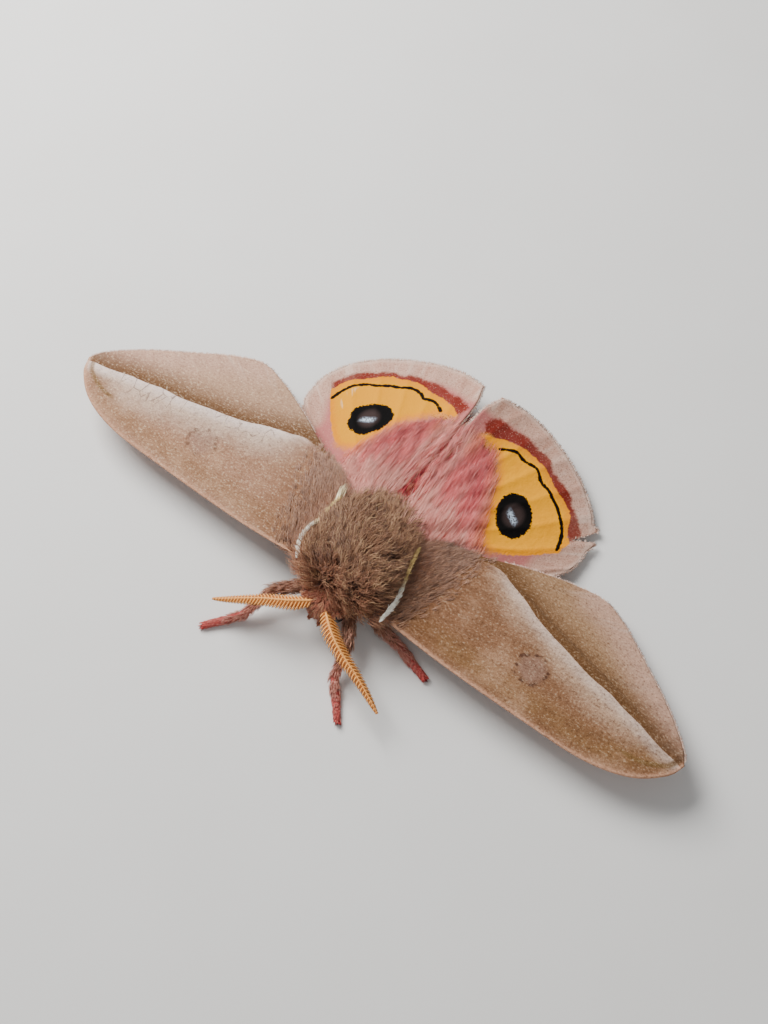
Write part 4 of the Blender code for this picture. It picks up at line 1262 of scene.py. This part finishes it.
# %% Balls of the eyes and tubes of the palps
EYE_RADIUS, EYE_PLACE = 0.88, (2.0, -6.6, 3.6)
PALP_PATH = [(0.6, -7.1, 2.7), (0.62, -7.75, 2.5), (0.66, -8.35, 2.2)]
PALP_RADII = [0.28, 0.3, 0.31, 0.29, 0.26, 0.22, 0.17, 0.08]


def add_palp(sign):
    return add_tube(smooth_path(np.array(PALP_PATH) * [sign, 1, 1], len(PALP_RADII)), PALP_RADII)


def add_eye(sign):
    deselect()
    x, y, z = EYE_PLACE
    bpy.ops.mesh.primitive_ico_sphere_add(subdivisions=5, radius=EYE_RADIUS, location=(x * sign, y, z))
    bpy.ops.object.transform_apply(location=True, rotation=True, scale=True)
    bpy.ops.object.shade_smooth()
    return bpy.context.object


eyes = {side: add_eye(sign) for side, sign in SIDES.items()}
palps = {side: add_palp(sign) for side, sign in SIDES.items()}
print("eyes and palps:", len(eyes) + len(palps))

# %% [markdown]
# ## Fur of the head and abdomen
#
# The head's fur is short and red-brown, and it frames the eyes as brows. The abdomen is soft and rosy under
# the wings, with a crest of rose hair in the valley between the hindwings. Each patch is a call of its own,
# so that each has its own length and lie.

# %% Fur on the head
HEAD_TUFTS, BROW_TUFTS, PALP_TUFTS = 700, 130, 90


def front_of_head(points, normals):
    return (points[:, 1] < -4.8) * 1.0


def brow_over(sign):
    """Allows tufts on the inner upper edge of an eye."""
    return lambda points, normals: (normals @ np.array([-0.5 * sign, 0.45, 0.74]) > 0.42) * 1.0


roots, normals = roots_on(head, HEAD_TUFTS, 21, front_of_head)
lies = np.stack([0.5 * roots[:, 0], -np.ones(HEAD_TUFTS), 0.3 - 0.3 * roots[:, 2]], -1)
for side, sign in SIDES.items():
    brow, outward = roots_on(eyes[side], BROW_TUFTS, 23, brow_over(sign))
    muzzle, ahead = roots_on(palps[side], PALP_TUFTS, 24)
    roots, normals = np.vstack([roots, brow, muzzle]), np.vstack([normals, outward, ahead])
    lies = np.vstack([lies, np.tile([0.7 * sign, -0.7, -0.5], (BROW_TUFTS, 1)),
                      np.tile([0.1 * sign, -0.8, -0.3], (PALP_TUFTS, 1))])
beside_eyes = np.r_[np.full(BROW_TUFTS, 0.75), np.full(PALP_TUFTS, 0.32)]
length = np.r_[np.full(HEAD_TUFTS, 1.1), np.tile(beside_eyes, 2)]
grow("head_fur", coat_finish, roots, normals, lies, length, label_round(-8.0, -4.2, 3.5),
     even_tone(0.9, 0.12, 0.0), 21, each=5, width=0.09, spread=0.09, lift=0.45, bend=3.0, rings=3)

# %% Fur on the abdomen, and the crest between the hindwings
ABDOMEN_LABEL = label_round(7.0, 23.2, 2.8)


def abdomen_tone(points):
    rose = np.clip((points[:, 2] - 2.0) / 1.5, 0.25, 1)
    return {"tone": [np.full(len(points), 0.3), rose, np.zeros(len(points))]}


def in_the_valley(points, normals):
    return (np.abs(points[:, 0]) < 0.8) * (normals[:, 2] > 0.5) * (points[:, 1] < 21.0)


roots, normals = roots_on(abdomen, 1300, 22)
lies = np.tile([0.0, 1.0, 0.0], (len(roots), 1))
grow("abdomen_fur", coat_finish, roots, normals, lies, 1.7, ABDOMEN_LABEL, abdomen_tone, 22, each=5,
     width=0.12, spread=0.16, lift=0.25, curl=0.06, rings=3)
roots, normals = roots_on(abdomen, 420, 25, in_the_valley)
lies = np.tile([0.1, 1.0, 0.0], (len(roots), 1))
grow("valley_hair", coat_finish, roots, normals, lies, 2.3, ABDOMEN_LABEL, even_tone(0.0, 1.0, 0.0), 25,
     each=4, width=0.12, spread=0.12, lift=0.9, curl=0.08, bend=9.0, rings=3)


# %% [markdown]
# ## Long hair over the wing roots
#
# The rose hair of the hindwing starts at its root and streams to the rear, along the body rather than out
# along the wing, and thins out over the yellow field's inner edge. The forewing has a softer brush of tan
# hair over its root.

# %% Where the rose hair grows
def hindwing_hair_share(side):
    """Where the rose hair grows: so far inside its border that its tips end there."""
    field, tip_reach = YELLOW_FIELD[side], {"left": 2.0, "right": 2.6}[side]

    def allowed(points, normals):
        plan = np.stack([points[:, 0] * SIDES[side], points[:, 1]], -1)
        reach = plan - np.array(HINDWING["base"])
        angle = np.degrees(np.arctan2(reach[:, 1], reach[:, 0]))
        tips = plan + np.array([-0.3, tip_reach])
        clear = np.minimum(-depth_inside(field, plan), -depth_inside(field, tips))
        share = np.clip(clear / 1.7, 0, 1) * np.clip((11.2 - plan[:, 0]) / 1.5, 0, 1)
        share = share * np.clip((angle - 22) / 26, 0, 1) * np.clip((20.0 - plan[:, 1]) / 2.0, 0, 1)
        return share * (normals[:, 2] > 0)

    return allowed


def hindwing_tone(points):
    """Whitish streaks, a golden rim at the yellow field, and a deep rose stripe. The right wing's hair is
    painted paler, as if lit more strongly.
    """
    x, y = np.abs(points[:, 0]), points[:, 1]
    side = "left" if points[0, 0] > 0 else "right"
    clear = -depth_inside(YELLOW_FIELD[side], np.stack([x, y + 2.0], -1))
    streaks = np.clip(np.sin(x * 2.3 + 0.2 * y), 0, 1)
    whitish = np.clip((9.5 - y) / 3.0, 0, 0.7) + 0.4 * streaks + 0.45 * np.clip((3.0 - x) / 2, 0, 1)
    # Painted light: the right wing's hair is painted paler, for the stronger light on that side.
    whitish = whitish + {"left": 0.0, "right": 0.12}[side]
    golden = np.clip((y - 15.5) / 4, 0, 1) * np.exp(-(((x - 2.8) / 0.9) ** 2)) * 0.8
    golden = np.maximum(golden, 0.6 * np.clip(1 - clear / 1.5, 0, 1))
    deep = np.exp(-(((x - 0.36 * (26 - y) - 1.4) / 1.6) ** 2)) * np.clip((y - 9) / 4, 0, 1) * 0.75
    return {"tone": [np.clip(whitish, 0, 0.85), golden, deep]}


# %% Rose hair on the hindwings
draw = np.random.default_rng(30)
for seed, (side, sign) in enumerate(SIDES.items(), 31):
    roots, normals = roots_on(membranes["hindwing", side], 1500, seed, hindwing_hair_share(side))
    lies = np.tile([-0.16 * sign, 1.0, 0.0], (len(roots), 1))
    angle = np.degrees(np.arctan2(roots[:, 1] - 3.0, np.abs(roots[:, 0]) - 2.0))
    length = 2.3 + 1.4 * np.clip((16 - roots[:, 1]) / 8, 0, 1)
    length = length * (0.45 + 0.55 * np.clip((angle - 30) / 22, 0, 1)) * draw.uniform(0.75, 1.15, len(roots))
    grow(f"hindwing_hair_{side}", hindwing_coat, roots, normals, lies, length, from_above, hindwing_tone,
         seed, each=8, width=0.085, spread=0.3, lift=0.12, curl=0.05, turns=0.8, bend=60.0, stray=0.06,
         tints=0.07, rings=3, pull=0.15)

# %% Tan hair on the forewings
def forewing_hair_share(points, normals):
    x, y = np.abs(points[:, 0]), points[:, 1]
    share = np.clip((11.6 - x + 0.3 * y) / 6.6, 0, 1)
    return (normals[:, 2] > 0) * (share > 0.12) * share**1.8


def forewing_tone(points):
    """Redder at the root, and paler to the rear and outwards."""
    x, y = np.abs(points[:, 0]), points[:, 1]
    pale = np.clip((y - 2.5) / 4, 0, 0.3) + 0.5 * np.clip((x - 7.0) / 4, 0, 1)
    return {"tone": [np.clip((8 - x) / 3, 0, 0.6), np.zeros(len(points)), pale]}


for seed, (side, sign) in enumerate(SIDES.items(), 41):
    roots, normals = roots_on(membranes["forewing", side], 1500, seed, forewing_hair_share)
    lies = np.tile([0.55 * sign, 1.0, 0.0], (len(roots), 1))
    length = 2.7 - 0.22 * np.clip(np.abs(roots[:, 0]) - 4, 0, 8)
    grow(f"forewing_hair_{side}", forewing_coat, roots, normals, lies, length, from_above, forewing_tone,
         seed, each=5, width=0.085, spread=0.16, lift=0.16, turns=1.1, bend=60.0, stray=0.1, tints=0.13,
         rings=3, pull=0.3)

# %% [markdown]
# ## Fringes
#
# A wing's outer margin ends in a fringe of narrow scales, about half a millimetre long. It makes the edge
# look soft and a little ragged, where a cut sheet would be sharp. The tufts stand along the margin, tear and
# all, and then round the rear corner, and each points away from a spot a little further in.

# %% Fringes of the margins
FRINGED = {"forewing": 0.4, "hindwing": 0.5}
MARGIN_TUFTS, CORNER_TUFTS, FIRST_REAR = 330, 110, 325
rear = np.arange(MARGIN_TUFTS + CORNER_TUFTS) >= FIRST_REAR
across = np.r_[np.linspace(0.02, 1.0, MARGIN_TUFTS), np.ones(CORNER_TUFTS)]
for seed, (kind, side) in enumerate(membranes, 71):
    wing = WINGS[kind]
    margin = torn_reach(wing, side, np.ones(MARGIN_TUFTS), across[:MARGIN_TUFTS])
    out = np.r_[margin, np.linspace(1.0, 0.5, CORNER_TUFTS)]
    rim = wing_points(wing, side, out, across, pleated=False)
    inner = wing_points(wing, side, np.where(rear, out, out * 0.985), across - 0.02 * rear, pleated=False)
    upward = np.tile([0.0, 0.0, 1.0], (len(rim), 1))
    grow(f"{kind}_fringe_{side}", fringe_finish, rim + unit(inner - rim) * 0.08, upward, rim - inner,
         FRINGED[kind], from_above, lambda points: {}, seed, each=3, width=0.1, spread=0.05, lift=0.0,
         curl=0.02, bend=20.0, stray=0.14, rings=2)

# %% [markdown]
# ## The white shoulder line
#
# A thin line of white scales edges the thorax where each forewing starts, and ends in a small cream tuft.
# The scales are short, broad and stand up a little, so the line catches the light.

# %% Where the shoulder lines run
SHOULDER_LINE = {
    "left": [(6.86, -5.1, 5.9), (6.96, -3.7, 6.1), (7.0, -2.2, 6.2), (6.82, -1.35, 6.3), (6.4, 0.25, 6.45),
             (6.05, 1.4, 6.7), (5.7, 2.8, 6.7), (5.4, 4.1, 6.5)],
    "right": [(-5.1, -4.65, 6.4), (-5.83, -3.2, 6.9), (-6.03, -2.2, 7.15), (-5.93, -1.0, 7.3),
              (-5.58, 0.3, 7.4), (-5.48, 1.9, 7.5), (-5.4, 3.6, 7.3)],
}
LINE_HALF_WIDTH = {"left": [0.05, 0.2, 0.17, 0.08, 0.1, 0.04], "right": [0.05, 0.25, 0.2, 0.08, 0.05, 0.05]}
for side, line in SHOULDER_LINE.items():
    steps = np.diff(smooth_path(line, 150), axis=0)
    print(f"{side} shoulder line: {np.linalg.norm(steps, axis=1).sum():.1f} mm long")

# %% Wool under the lines
for seed, (side, line) in enumerate(SHOULDER_LINE.items(), 55):
    path = smooth_path(line, 150) - np.array([SIDES[side] * 0.75, 0.3, 0.45])
    outward = np.tile([SIDES[side] * 0.6, 0.0, 0.8], (len(path), 1))
    grow(f"shoulder_wool_{side}", coat_finish, path, outward, body_lie(path), 1.5, THORAX_LABEL, body_tone,
         seed, each=5, width=0.12, spread=0.25, lift=0.35, curl=0.15, turns=1.5, bend=4.0, rings=3)

# %% White scales along the shoulders, and a cream tuft
SHOULDER_LABEL = label_round(-6, 8, 5.4)


def line_tone(points):
    """White in front and cream behind."""
    return {"tone": [np.clip((points[:, 1] + 1.2) / 1.6, 0, 1), points[:, 0] * 0, points[:, 0] * 0]}


white_finish, base = new_finish("white_scales")
white = base.colour(paint(255, 252, 240)).blend(paint(250, 218, 142), base.field("tone")[0])
worn = base.field("strand")[1].rise(0.4, 0.1) * 0.5
lay_on(white_finish, white.blend(paint(196, 170, 120), worn), 0.5)
draw = np.random.default_rng(50)
for seed, (side, line) in enumerate(SHOULDER_LINE.items(), 51):
    path = smooth_path(line, 420)
    half = np.interp(np.linspace(0, 1, len(path)), np.linspace(0, 1, 6), LINE_HALF_WIDTH[side])
    out = np.tile([SIDES[side] * 0.35, -0.2, 1.0], (len(path), 1))
    ahead = unit(np.gradient(path, axis=0))
    roots = path + unit(np.cross(ahead, out)) * (half * draw.uniform(-1, 1, len(path)))[:, None]
    grow(f"shoulder_line_{side}", white_finish, roots, unit(out), ahead, 0.55, SHOULDER_LABEL, line_tone,
         seed, each=2, width=0.09, spread=0.035, lift=0.2, curl=0.04, bend=10.0, tints=0.2)
TUFT_ROOTS = 26
roots = np.array([-5.4, 3.3, 7.1]) + draw.normal(0, 0.13, (TUFT_ROOTS, 3))
outward, lies = (np.tile(way, (TUFT_ROOTS, 1)) for way in ([-0.4, 0.0, 0.9], [-0.33, 1.0, 0.0]))
grow("shoulder_tuft", white_finish, roots, outward, lies, 2.5, SHOULDER_LABEL, even_tone(0.6, 0.0, 0.0), 53,
     each=4, width=0.13, spread=0.05, lift=0.1, curl=0.03, bend=20.0, stray=0.04)


# %% [markdown]
# ## Furry legs
#
# Thigh and shin are shaggy and brown, the foot is clad in short rose-red scales. Roots are drawn round each
# stretch of a leg, and the fur lies towards the toe.

# %% Roots round a leg
def leg_roots(joints, count, draw):
    """Random roots round a leg, with their normals, lie, share of the way to the toe and turn round it."""
    places, radii = leg_course(joints)
    runs = np.diff(places, axis=0)
    spans = np.linalg.norm(runs, axis=1)
    chance = spans * np.where(np.arange(len(spans)) < 4, 1.0, 1.5)
    pick = draw.choice(len(spans), count, p=chance / chance.sum())
    share = draw.random(count)
    ahead = unit(runs[pick])
    across = unit(np.cross(ahead, [0.0, 0.0, 1.0]))
    above = np.cross(across, ahead)
    turn = draw.uniform(0, 2 * math.pi, count)
    normal = across * np.cos(turn)[:, None] + above * np.sin(turn)[:, None]
    centre = places[pick] + runs[pick] * share[:, None]
    radius = radii[pick] + (radii[pick + 1] - radii[pick]) * share
    return centre + normal * radius[:, None] * 0.9, normal, ahead, (pick + share) / len(spans), turn


# %% Fur on the legs
LEG_TUFTS, LEG_HAIRS = 580, 3
STARTS_AND_RUNS = ((0.13, 0.08), (0.29, 0.08), (0.6, 0.4))
draw = np.random.default_rng(61)
gathered = [leg_roots(joints, LEG_TUFTS, draw) for joints in LEGS.values()]
roots, normals, lies, way, turn = (np.concatenate([leg[k] for leg in gathered]) for k in range(5))
on_shin, on_foot, on_toe = (np.clip((way - start) / run, 0, 1) for start, run in STARTS_AND_RUNS)


def leg_label(points):
    """Unwraps each leg to a strip of its own, side by side."""
    number = np.repeat(np.arange(len(LEGS)), LEG_TUFTS)
    strip = np.stack([0.02 + 0.96 * (number + turn / 6.3) / len(LEGS), 0.02 + 0.96 * way], -1)
    return np.repeat(strip, LEG_HAIRS, axis=0)


def leg_tone(points):
    return {"tone": [np.repeat(share, LEG_HAIRS) for share in (on_shin, on_foot, on_toe)]}


grow("leg_fur", leg_coat, roots, normals, lies, 1.4 - 0.4 * on_shin - 0.5 * on_foot, leg_label, leg_tone, 62,
     each=LEG_HAIRS, width=0.1 + 0.04 * on_foot, spread=0.05, lift=0.4 - 0.15 * on_foot, curl=0.04, bend=2.0,
     stray=0.12, tints=0.1, rings=3)

# %% [markdown]
# ## One skin
#
# On the real moth one shell runs from the head into the thorax, and each leg is jointed into it without a
# gap. Joined balls and tubes would show a crease where they meet. A voxel remesh melts them into one closed
# skin, and a smoothing rounds off what is left of the meeting lines.

# %% Melt the body into one skin
VOXEL, SKIN_FLOOR = 0.14, 0.02
legs = [add_tube(*leg_course(joints)) for joints in LEGS.values()]
body = join([thorax, head, abdomen] + legs)
melt = body.modifiers.new("melt", "REMESH")
melt.mode = "VOXEL"
melt.voxel_size = VOXEL
soften = body.modifiers.new("soften", "SMOOTH")
soften.iterations = 4
apply_all(body)
bpy.ops.object.shade_smooth()
places = np.array([v.co for v in body.data.vertices])
places[:, 2] = np.maximum(places[:, 2], SKIN_FLOOR)
body.data.vertices.foreach_set("co", places.astype(np.float32).ravel())
red, rose, pale = body_tone(places)["tone"]
x, y, z = places.T
off_body = (np.abs(x) > 3.2) & ((x / 5.6) ** 2 + ((y - 1.5) / 7.5) ** 2 > 1.05)
rose = np.where(off_body, np.clip((1.9 - z) / 0.9, 0, 0.7), rose)
keep(body.data, "tone", [red, rose, pale])
print(f"skin: {len(places)} points, of which {off_body.sum()} are on the legs")

# %% [markdown]
# ## The look of the eyes
#
# A compound eye is a dark ball of thousands of facets. The facets are far too fine to cut, so a pattern of
# cells gives them in the bump. The middle of each facet is painted a lighter blue as a painted sheen, under a
# gloss.

# %% Finish of the eyes, and settling
eye_finish, base = new_finish("facet_eye")
cells = base.node("ShaderNodeTexVoronoi", {"feature": "F1"}, {"Vector": base.in_mm(), "Scale": 9.0})
# Painted sheen: the middle of each facet is painted lighter and bluish, as if it caught the light.
dark = base.colour(paint(20, 17, 22)).blend(paint(48, 46, 78), cells.rise(0.5, 0.1) * 0.6)
lay_on(eye_finish, dark, 0.24, 1 - cells, 0.03, Coat_Weight=0.4, Coat_Roughness=0.15)
for side in SIDES:
    settle(eyes[side], f"facet_eye_{side}", eye_finish, f"eye_{side}", slot="eye_dark")
    points = np.array([v.co for v in palps[side].data.vertices])
    keep(palps[side].data, "tone", even_tone(0.9, 0.1, 0.0)(points)["tone"])
    settle(palps[side], f"furry_palp_{side}", skin_finish, f"palp_{side}", slot="leg_red")

# %% [markdown]
# ## Feelers
#
# A male silk moth has feelers like feathers, with which it smells a female from far away. A shaft carries
# comb teeth on both sides, in two tiers. About thirty pairs can be counted. A shaft is a thin tube, and the
# teeth are the same closed spikes as the hairs, only stiffer.

# %% Finish of the feelers
ANTENNAE = {
    "left": [(0.7, -7.0, 4.7), (3.2, -9.0, 5.1), (5.6, -10.2, 4.8),
             (7.9, -11.0, 4.4), (10.2, -11.9, 3.8), (12.4, -12.9, 3.2)],
    "right": [(-0.7, -7.0, 4.7), (-2.9, -8.8, 5.1), (-5.4, -10.2, 4.8),
              (-7.3, -11.4, 4.4), (-9.0, -12.4, 3.8), (-10.6, -13.3, 3.2)],
}
feeler_finish, base = new_finish("feeler")
ripple = base.noise(base.in_mm(), 4.0, 2.0)
lower = base.field("tier")[0]
orange = base.colour(paint(246, 170, 92)).blend(paint(196, 116, 50), ripple.rise(0.5, 0.3) * 0.5)
orange = orange.blend(paint(240, 186, 110), ripple.rise(0.52, 0.68) * 0.5)
orange = orange.blend(paint(160, 88, 38), lower * 0.8)
lay_on(feeler_finish, orange, 0.6, ripple, 0.03, Specular_IOR_Level=0.3)

# %% Comb teeth
COMB_RINGS, COMB_PAIRS, COMB_THICK = 4, 30, 0.125
SHAFT_POINTS = 60


def comb_teeth(path, pairs, sign):
    """Courses of the teeth on both sides of a shaft, the front side level and the rear one let down."""
    centres = []
    steps = np.linspace(0, 1, COMB_RINGS + 1)[None, :, None]
    for tier, drop in enumerate((0.0, 0.3)):
        share = np.minimum(np.linspace(0.04, 0.985, pairs) + tier * 0.5 / pairs, 0.99)
        root = at(path, share)
        ahead = unit(at(path, np.minimum(share + 0.02, 1.0)) - at(path, share - 0.02))
        length = (1.25 - 0.2 * tier) * np.minimum(1.0, 0.5 + 3.4 * share) * (1 - share) ** 0.6 + 0.08
        for turn, fall in ((sign, 0.2), (-sign, 0.95)):
            sideways = turn * unit(np.cross(ahead, [0.0, 0.0, 1.0]))
            way = sideways[:, None] * steps + ahead[:, None] * (0.25 * steps + 0.4 * steps**2)
            way = way - np.array([0.0, 0.0, fall + drop]) * steps
            centres.append(root[:, None] + way * length[:, None, None])
    return np.concatenate(centres)


def add_combs(path, sign):
    """The teeth as one mesh, whose tier is kept so that the lower teeth can be darker."""
    centre = comb_teeth(path, COMB_PAIRS, sign)
    ahead = unit(centre[:, -1] - centre[:, 0])
    beside = unit(np.cross(ahead, [0.0, 0.0, 1.0]))
    thick = COMB_THICK * (1 - 0.55 * np.linspace(0, 1, COMB_RINGS + 1) ** 2)[None, :]
    combs = spikes("combs", centre, beside, np.cross(beside, ahead), thick, 0.9)
    lower = np.repeat([0.0, 0.0, 1.0, 1.0], COMB_PAIRS * (3 * COMB_RINGS + 1))
    keep(combs.data, "tier", [lower, lower * 0, lower * 0])
    return combs


for side, sign in SIDES.items():
    path = smooth_path(ANTENNAE[side], SHAFT_POINTS)
    shaft = add_tube(path, np.linspace(0.16, 0.06, SHAFT_POINTS), resolution=2)
    feeler = join([shaft, add_combs(path, sign)])
    bpy.ops.object.shade_smooth()
    settle(feeler, f"feeler_{side}", feeler_finish, f"antenna_{side}", slot="antenna_orange")

# %% [markdown]
# ## Claws
#
# Each foot ends in two tiny hooked claws, with which the moth holds on to bark. A hook is a thin tube that
# tapers along three points. All twelve are joined, because nobody would move them one by one.

# %% Claws
CLAW_RADII = [0.07, 0.065, 0.055, 0.045, 0.03, 0.012]
CLAW_STEPS = ((0.0, 0.0, -0.08), (0.16, 0.1, 0.0), (0.28, 0.14, -0.2))
claw_finish, base = new_finish("claw")
horn = base.colour(paint(70, 30, 24)).blend(paint(120, 60, 40), base.noise(base.in_mm(), 4.0))
lay_on(claw_finish, horn, 0.3)
claws = []
for joints in LEGS.values():
    toe = np.array(joints[3])
    ahead = unit(toe - np.array(joints[2]))
    ahead[2] = 0.0
    sideways = np.array([-ahead[1], ahead[0], 0.0])
    for turn in (1, -1):
        places = [toe + ahead * reach + sideways * turn * aside + [0, 0, drop]
                  for reach, aside, drop in CLAW_STEPS]
        claws.append(add_tube(smooth_path(places, len(CLAW_RADII)), CLAW_RADII, resolution=1))
settle(join(claws), "claws", claw_finish, slot="leg_red")

# %% [markdown]
# ## Everything in its place
#
# The pieces are still in the moth's own millimetres. Settling moves each to its place in the frame, lets it
# ride on the body, and hides the imported nodes that it stands for. It comes last, because fur and fringes were
# planted on these very meshes.

# %% Settle wings, skin and coat
WING_FINISHES = {"forewing": (forewing_finish, "wing_brown"), "hindwing": (hindwing_finish, "wing_rose")}
for (kind, side), membrane in membranes.items():
    finish, slot = WING_FINISHES[kind]
    settle(membrane, f"{kind}_membrane_{side}", finish, f"{kind}_{side}", slot=slot)
settle(body, "body_skin", skin_finish, "thorax", "head", "abdomen", *LEGS, slot="brown_fur")
COAT_SLOTS = {"hindwing": "wing_rose", "abdomen": "wing_rose", "valley": "wing_rose",
              "forewing": "wing_brown", "leg": "leg_red"}
for piece, finish in coat:
    settle(piece, piece.name, finish, slot=COAT_SLOTS.get(piece.name.split("_")[0], "brown_fur"))

# %% [markdown]
# ## Floor, light and camera
#
# A plain pale floor and large soft lights show the animal without hard shadows. The lamp called window stands
# at the rear left of the picture and brings out the wool, and a weak fill keeps the shadows open. The camera
# stands high before the moth and to its left, and looks down.

# %% Floor
floor_finish, base = new_finish("floor")
dust = base.noise(base.in_mm(), 0.05, 3.0)
lay_on(floor_finish, base.colour(paint(232, 230, 226)).blend(paint(224, 221, 216), dust), 0.85, None, 0.0)
deselect()
bpy.ops.mesh.primitive_plane_add(size=4.0)
floor = bpy.context.object
floor.name = "floor"
floor.data.materials.append(floor_finish)
print("floor:", [round(share, 1) for share in floor.dimensions], "m")

# %% Light
def add_soft_light(name, place, size, power):
    deselect()
    bpy.ops.object.light_add(type="AREA", location=place)
    lamp = bpy.context.object
    lamp.name = name
    lamp.data.size = size
    lamp.data.energy = power
    lamp.rotation_mode = "QUATERNION"
    lamp.rotation_quaternion = (-Vector(place)).to_track_quat("-Z", "Y")


add_soft_light("window", (-0.19, 0.05, 0.19), 0.16, 1.5)
add_soft_light("fill", (0.35, -0.25, 0.45), 0.5, 0.5)
world = bpy.data.worlds.new("soft_sky")
bpy.context.scene.world = world
world.use_nodes = True
world.node_tree.nodes["Background"].inputs["Color"].default_value = (0.93, 0.96, 1.0, 1.0)
world.node_tree.nodes["Background"].inputs["Strength"].default_value = 0.3

# %% Camera
AIM = Vector((-1.86, 2.38, 0.0)) * MM
TURN, RISE, ROLL = math.radians(36.385), math.radians(64.231), math.radians(0.305)
DISTANCE, LENS = 143.98, 42.19
back = Vector((math.sin(TURN) * math.cos(RISE), -math.cos(TURN) * math.cos(RISE), math.sin(RISE)))
deselect()
bpy.ops.object.camera_add(location=AIM + back * DISTANCE * MM)
camera = bpy.context.object
camera.rotation_mode = "QUATERNION"
camera.rotation_quaternion = (-back).to_track_quat("-Z", "Y") @ Quaternion((0, 0, 1), ROLL)
camera.data.sensor_width = 36.0
camera.data.lens = LENS
camera.data.clip_start = 0.005
bpy.context.scene.camera = camera
print("camera at, in millimetres:", [round(share / MM, 1) for share in camera.location])
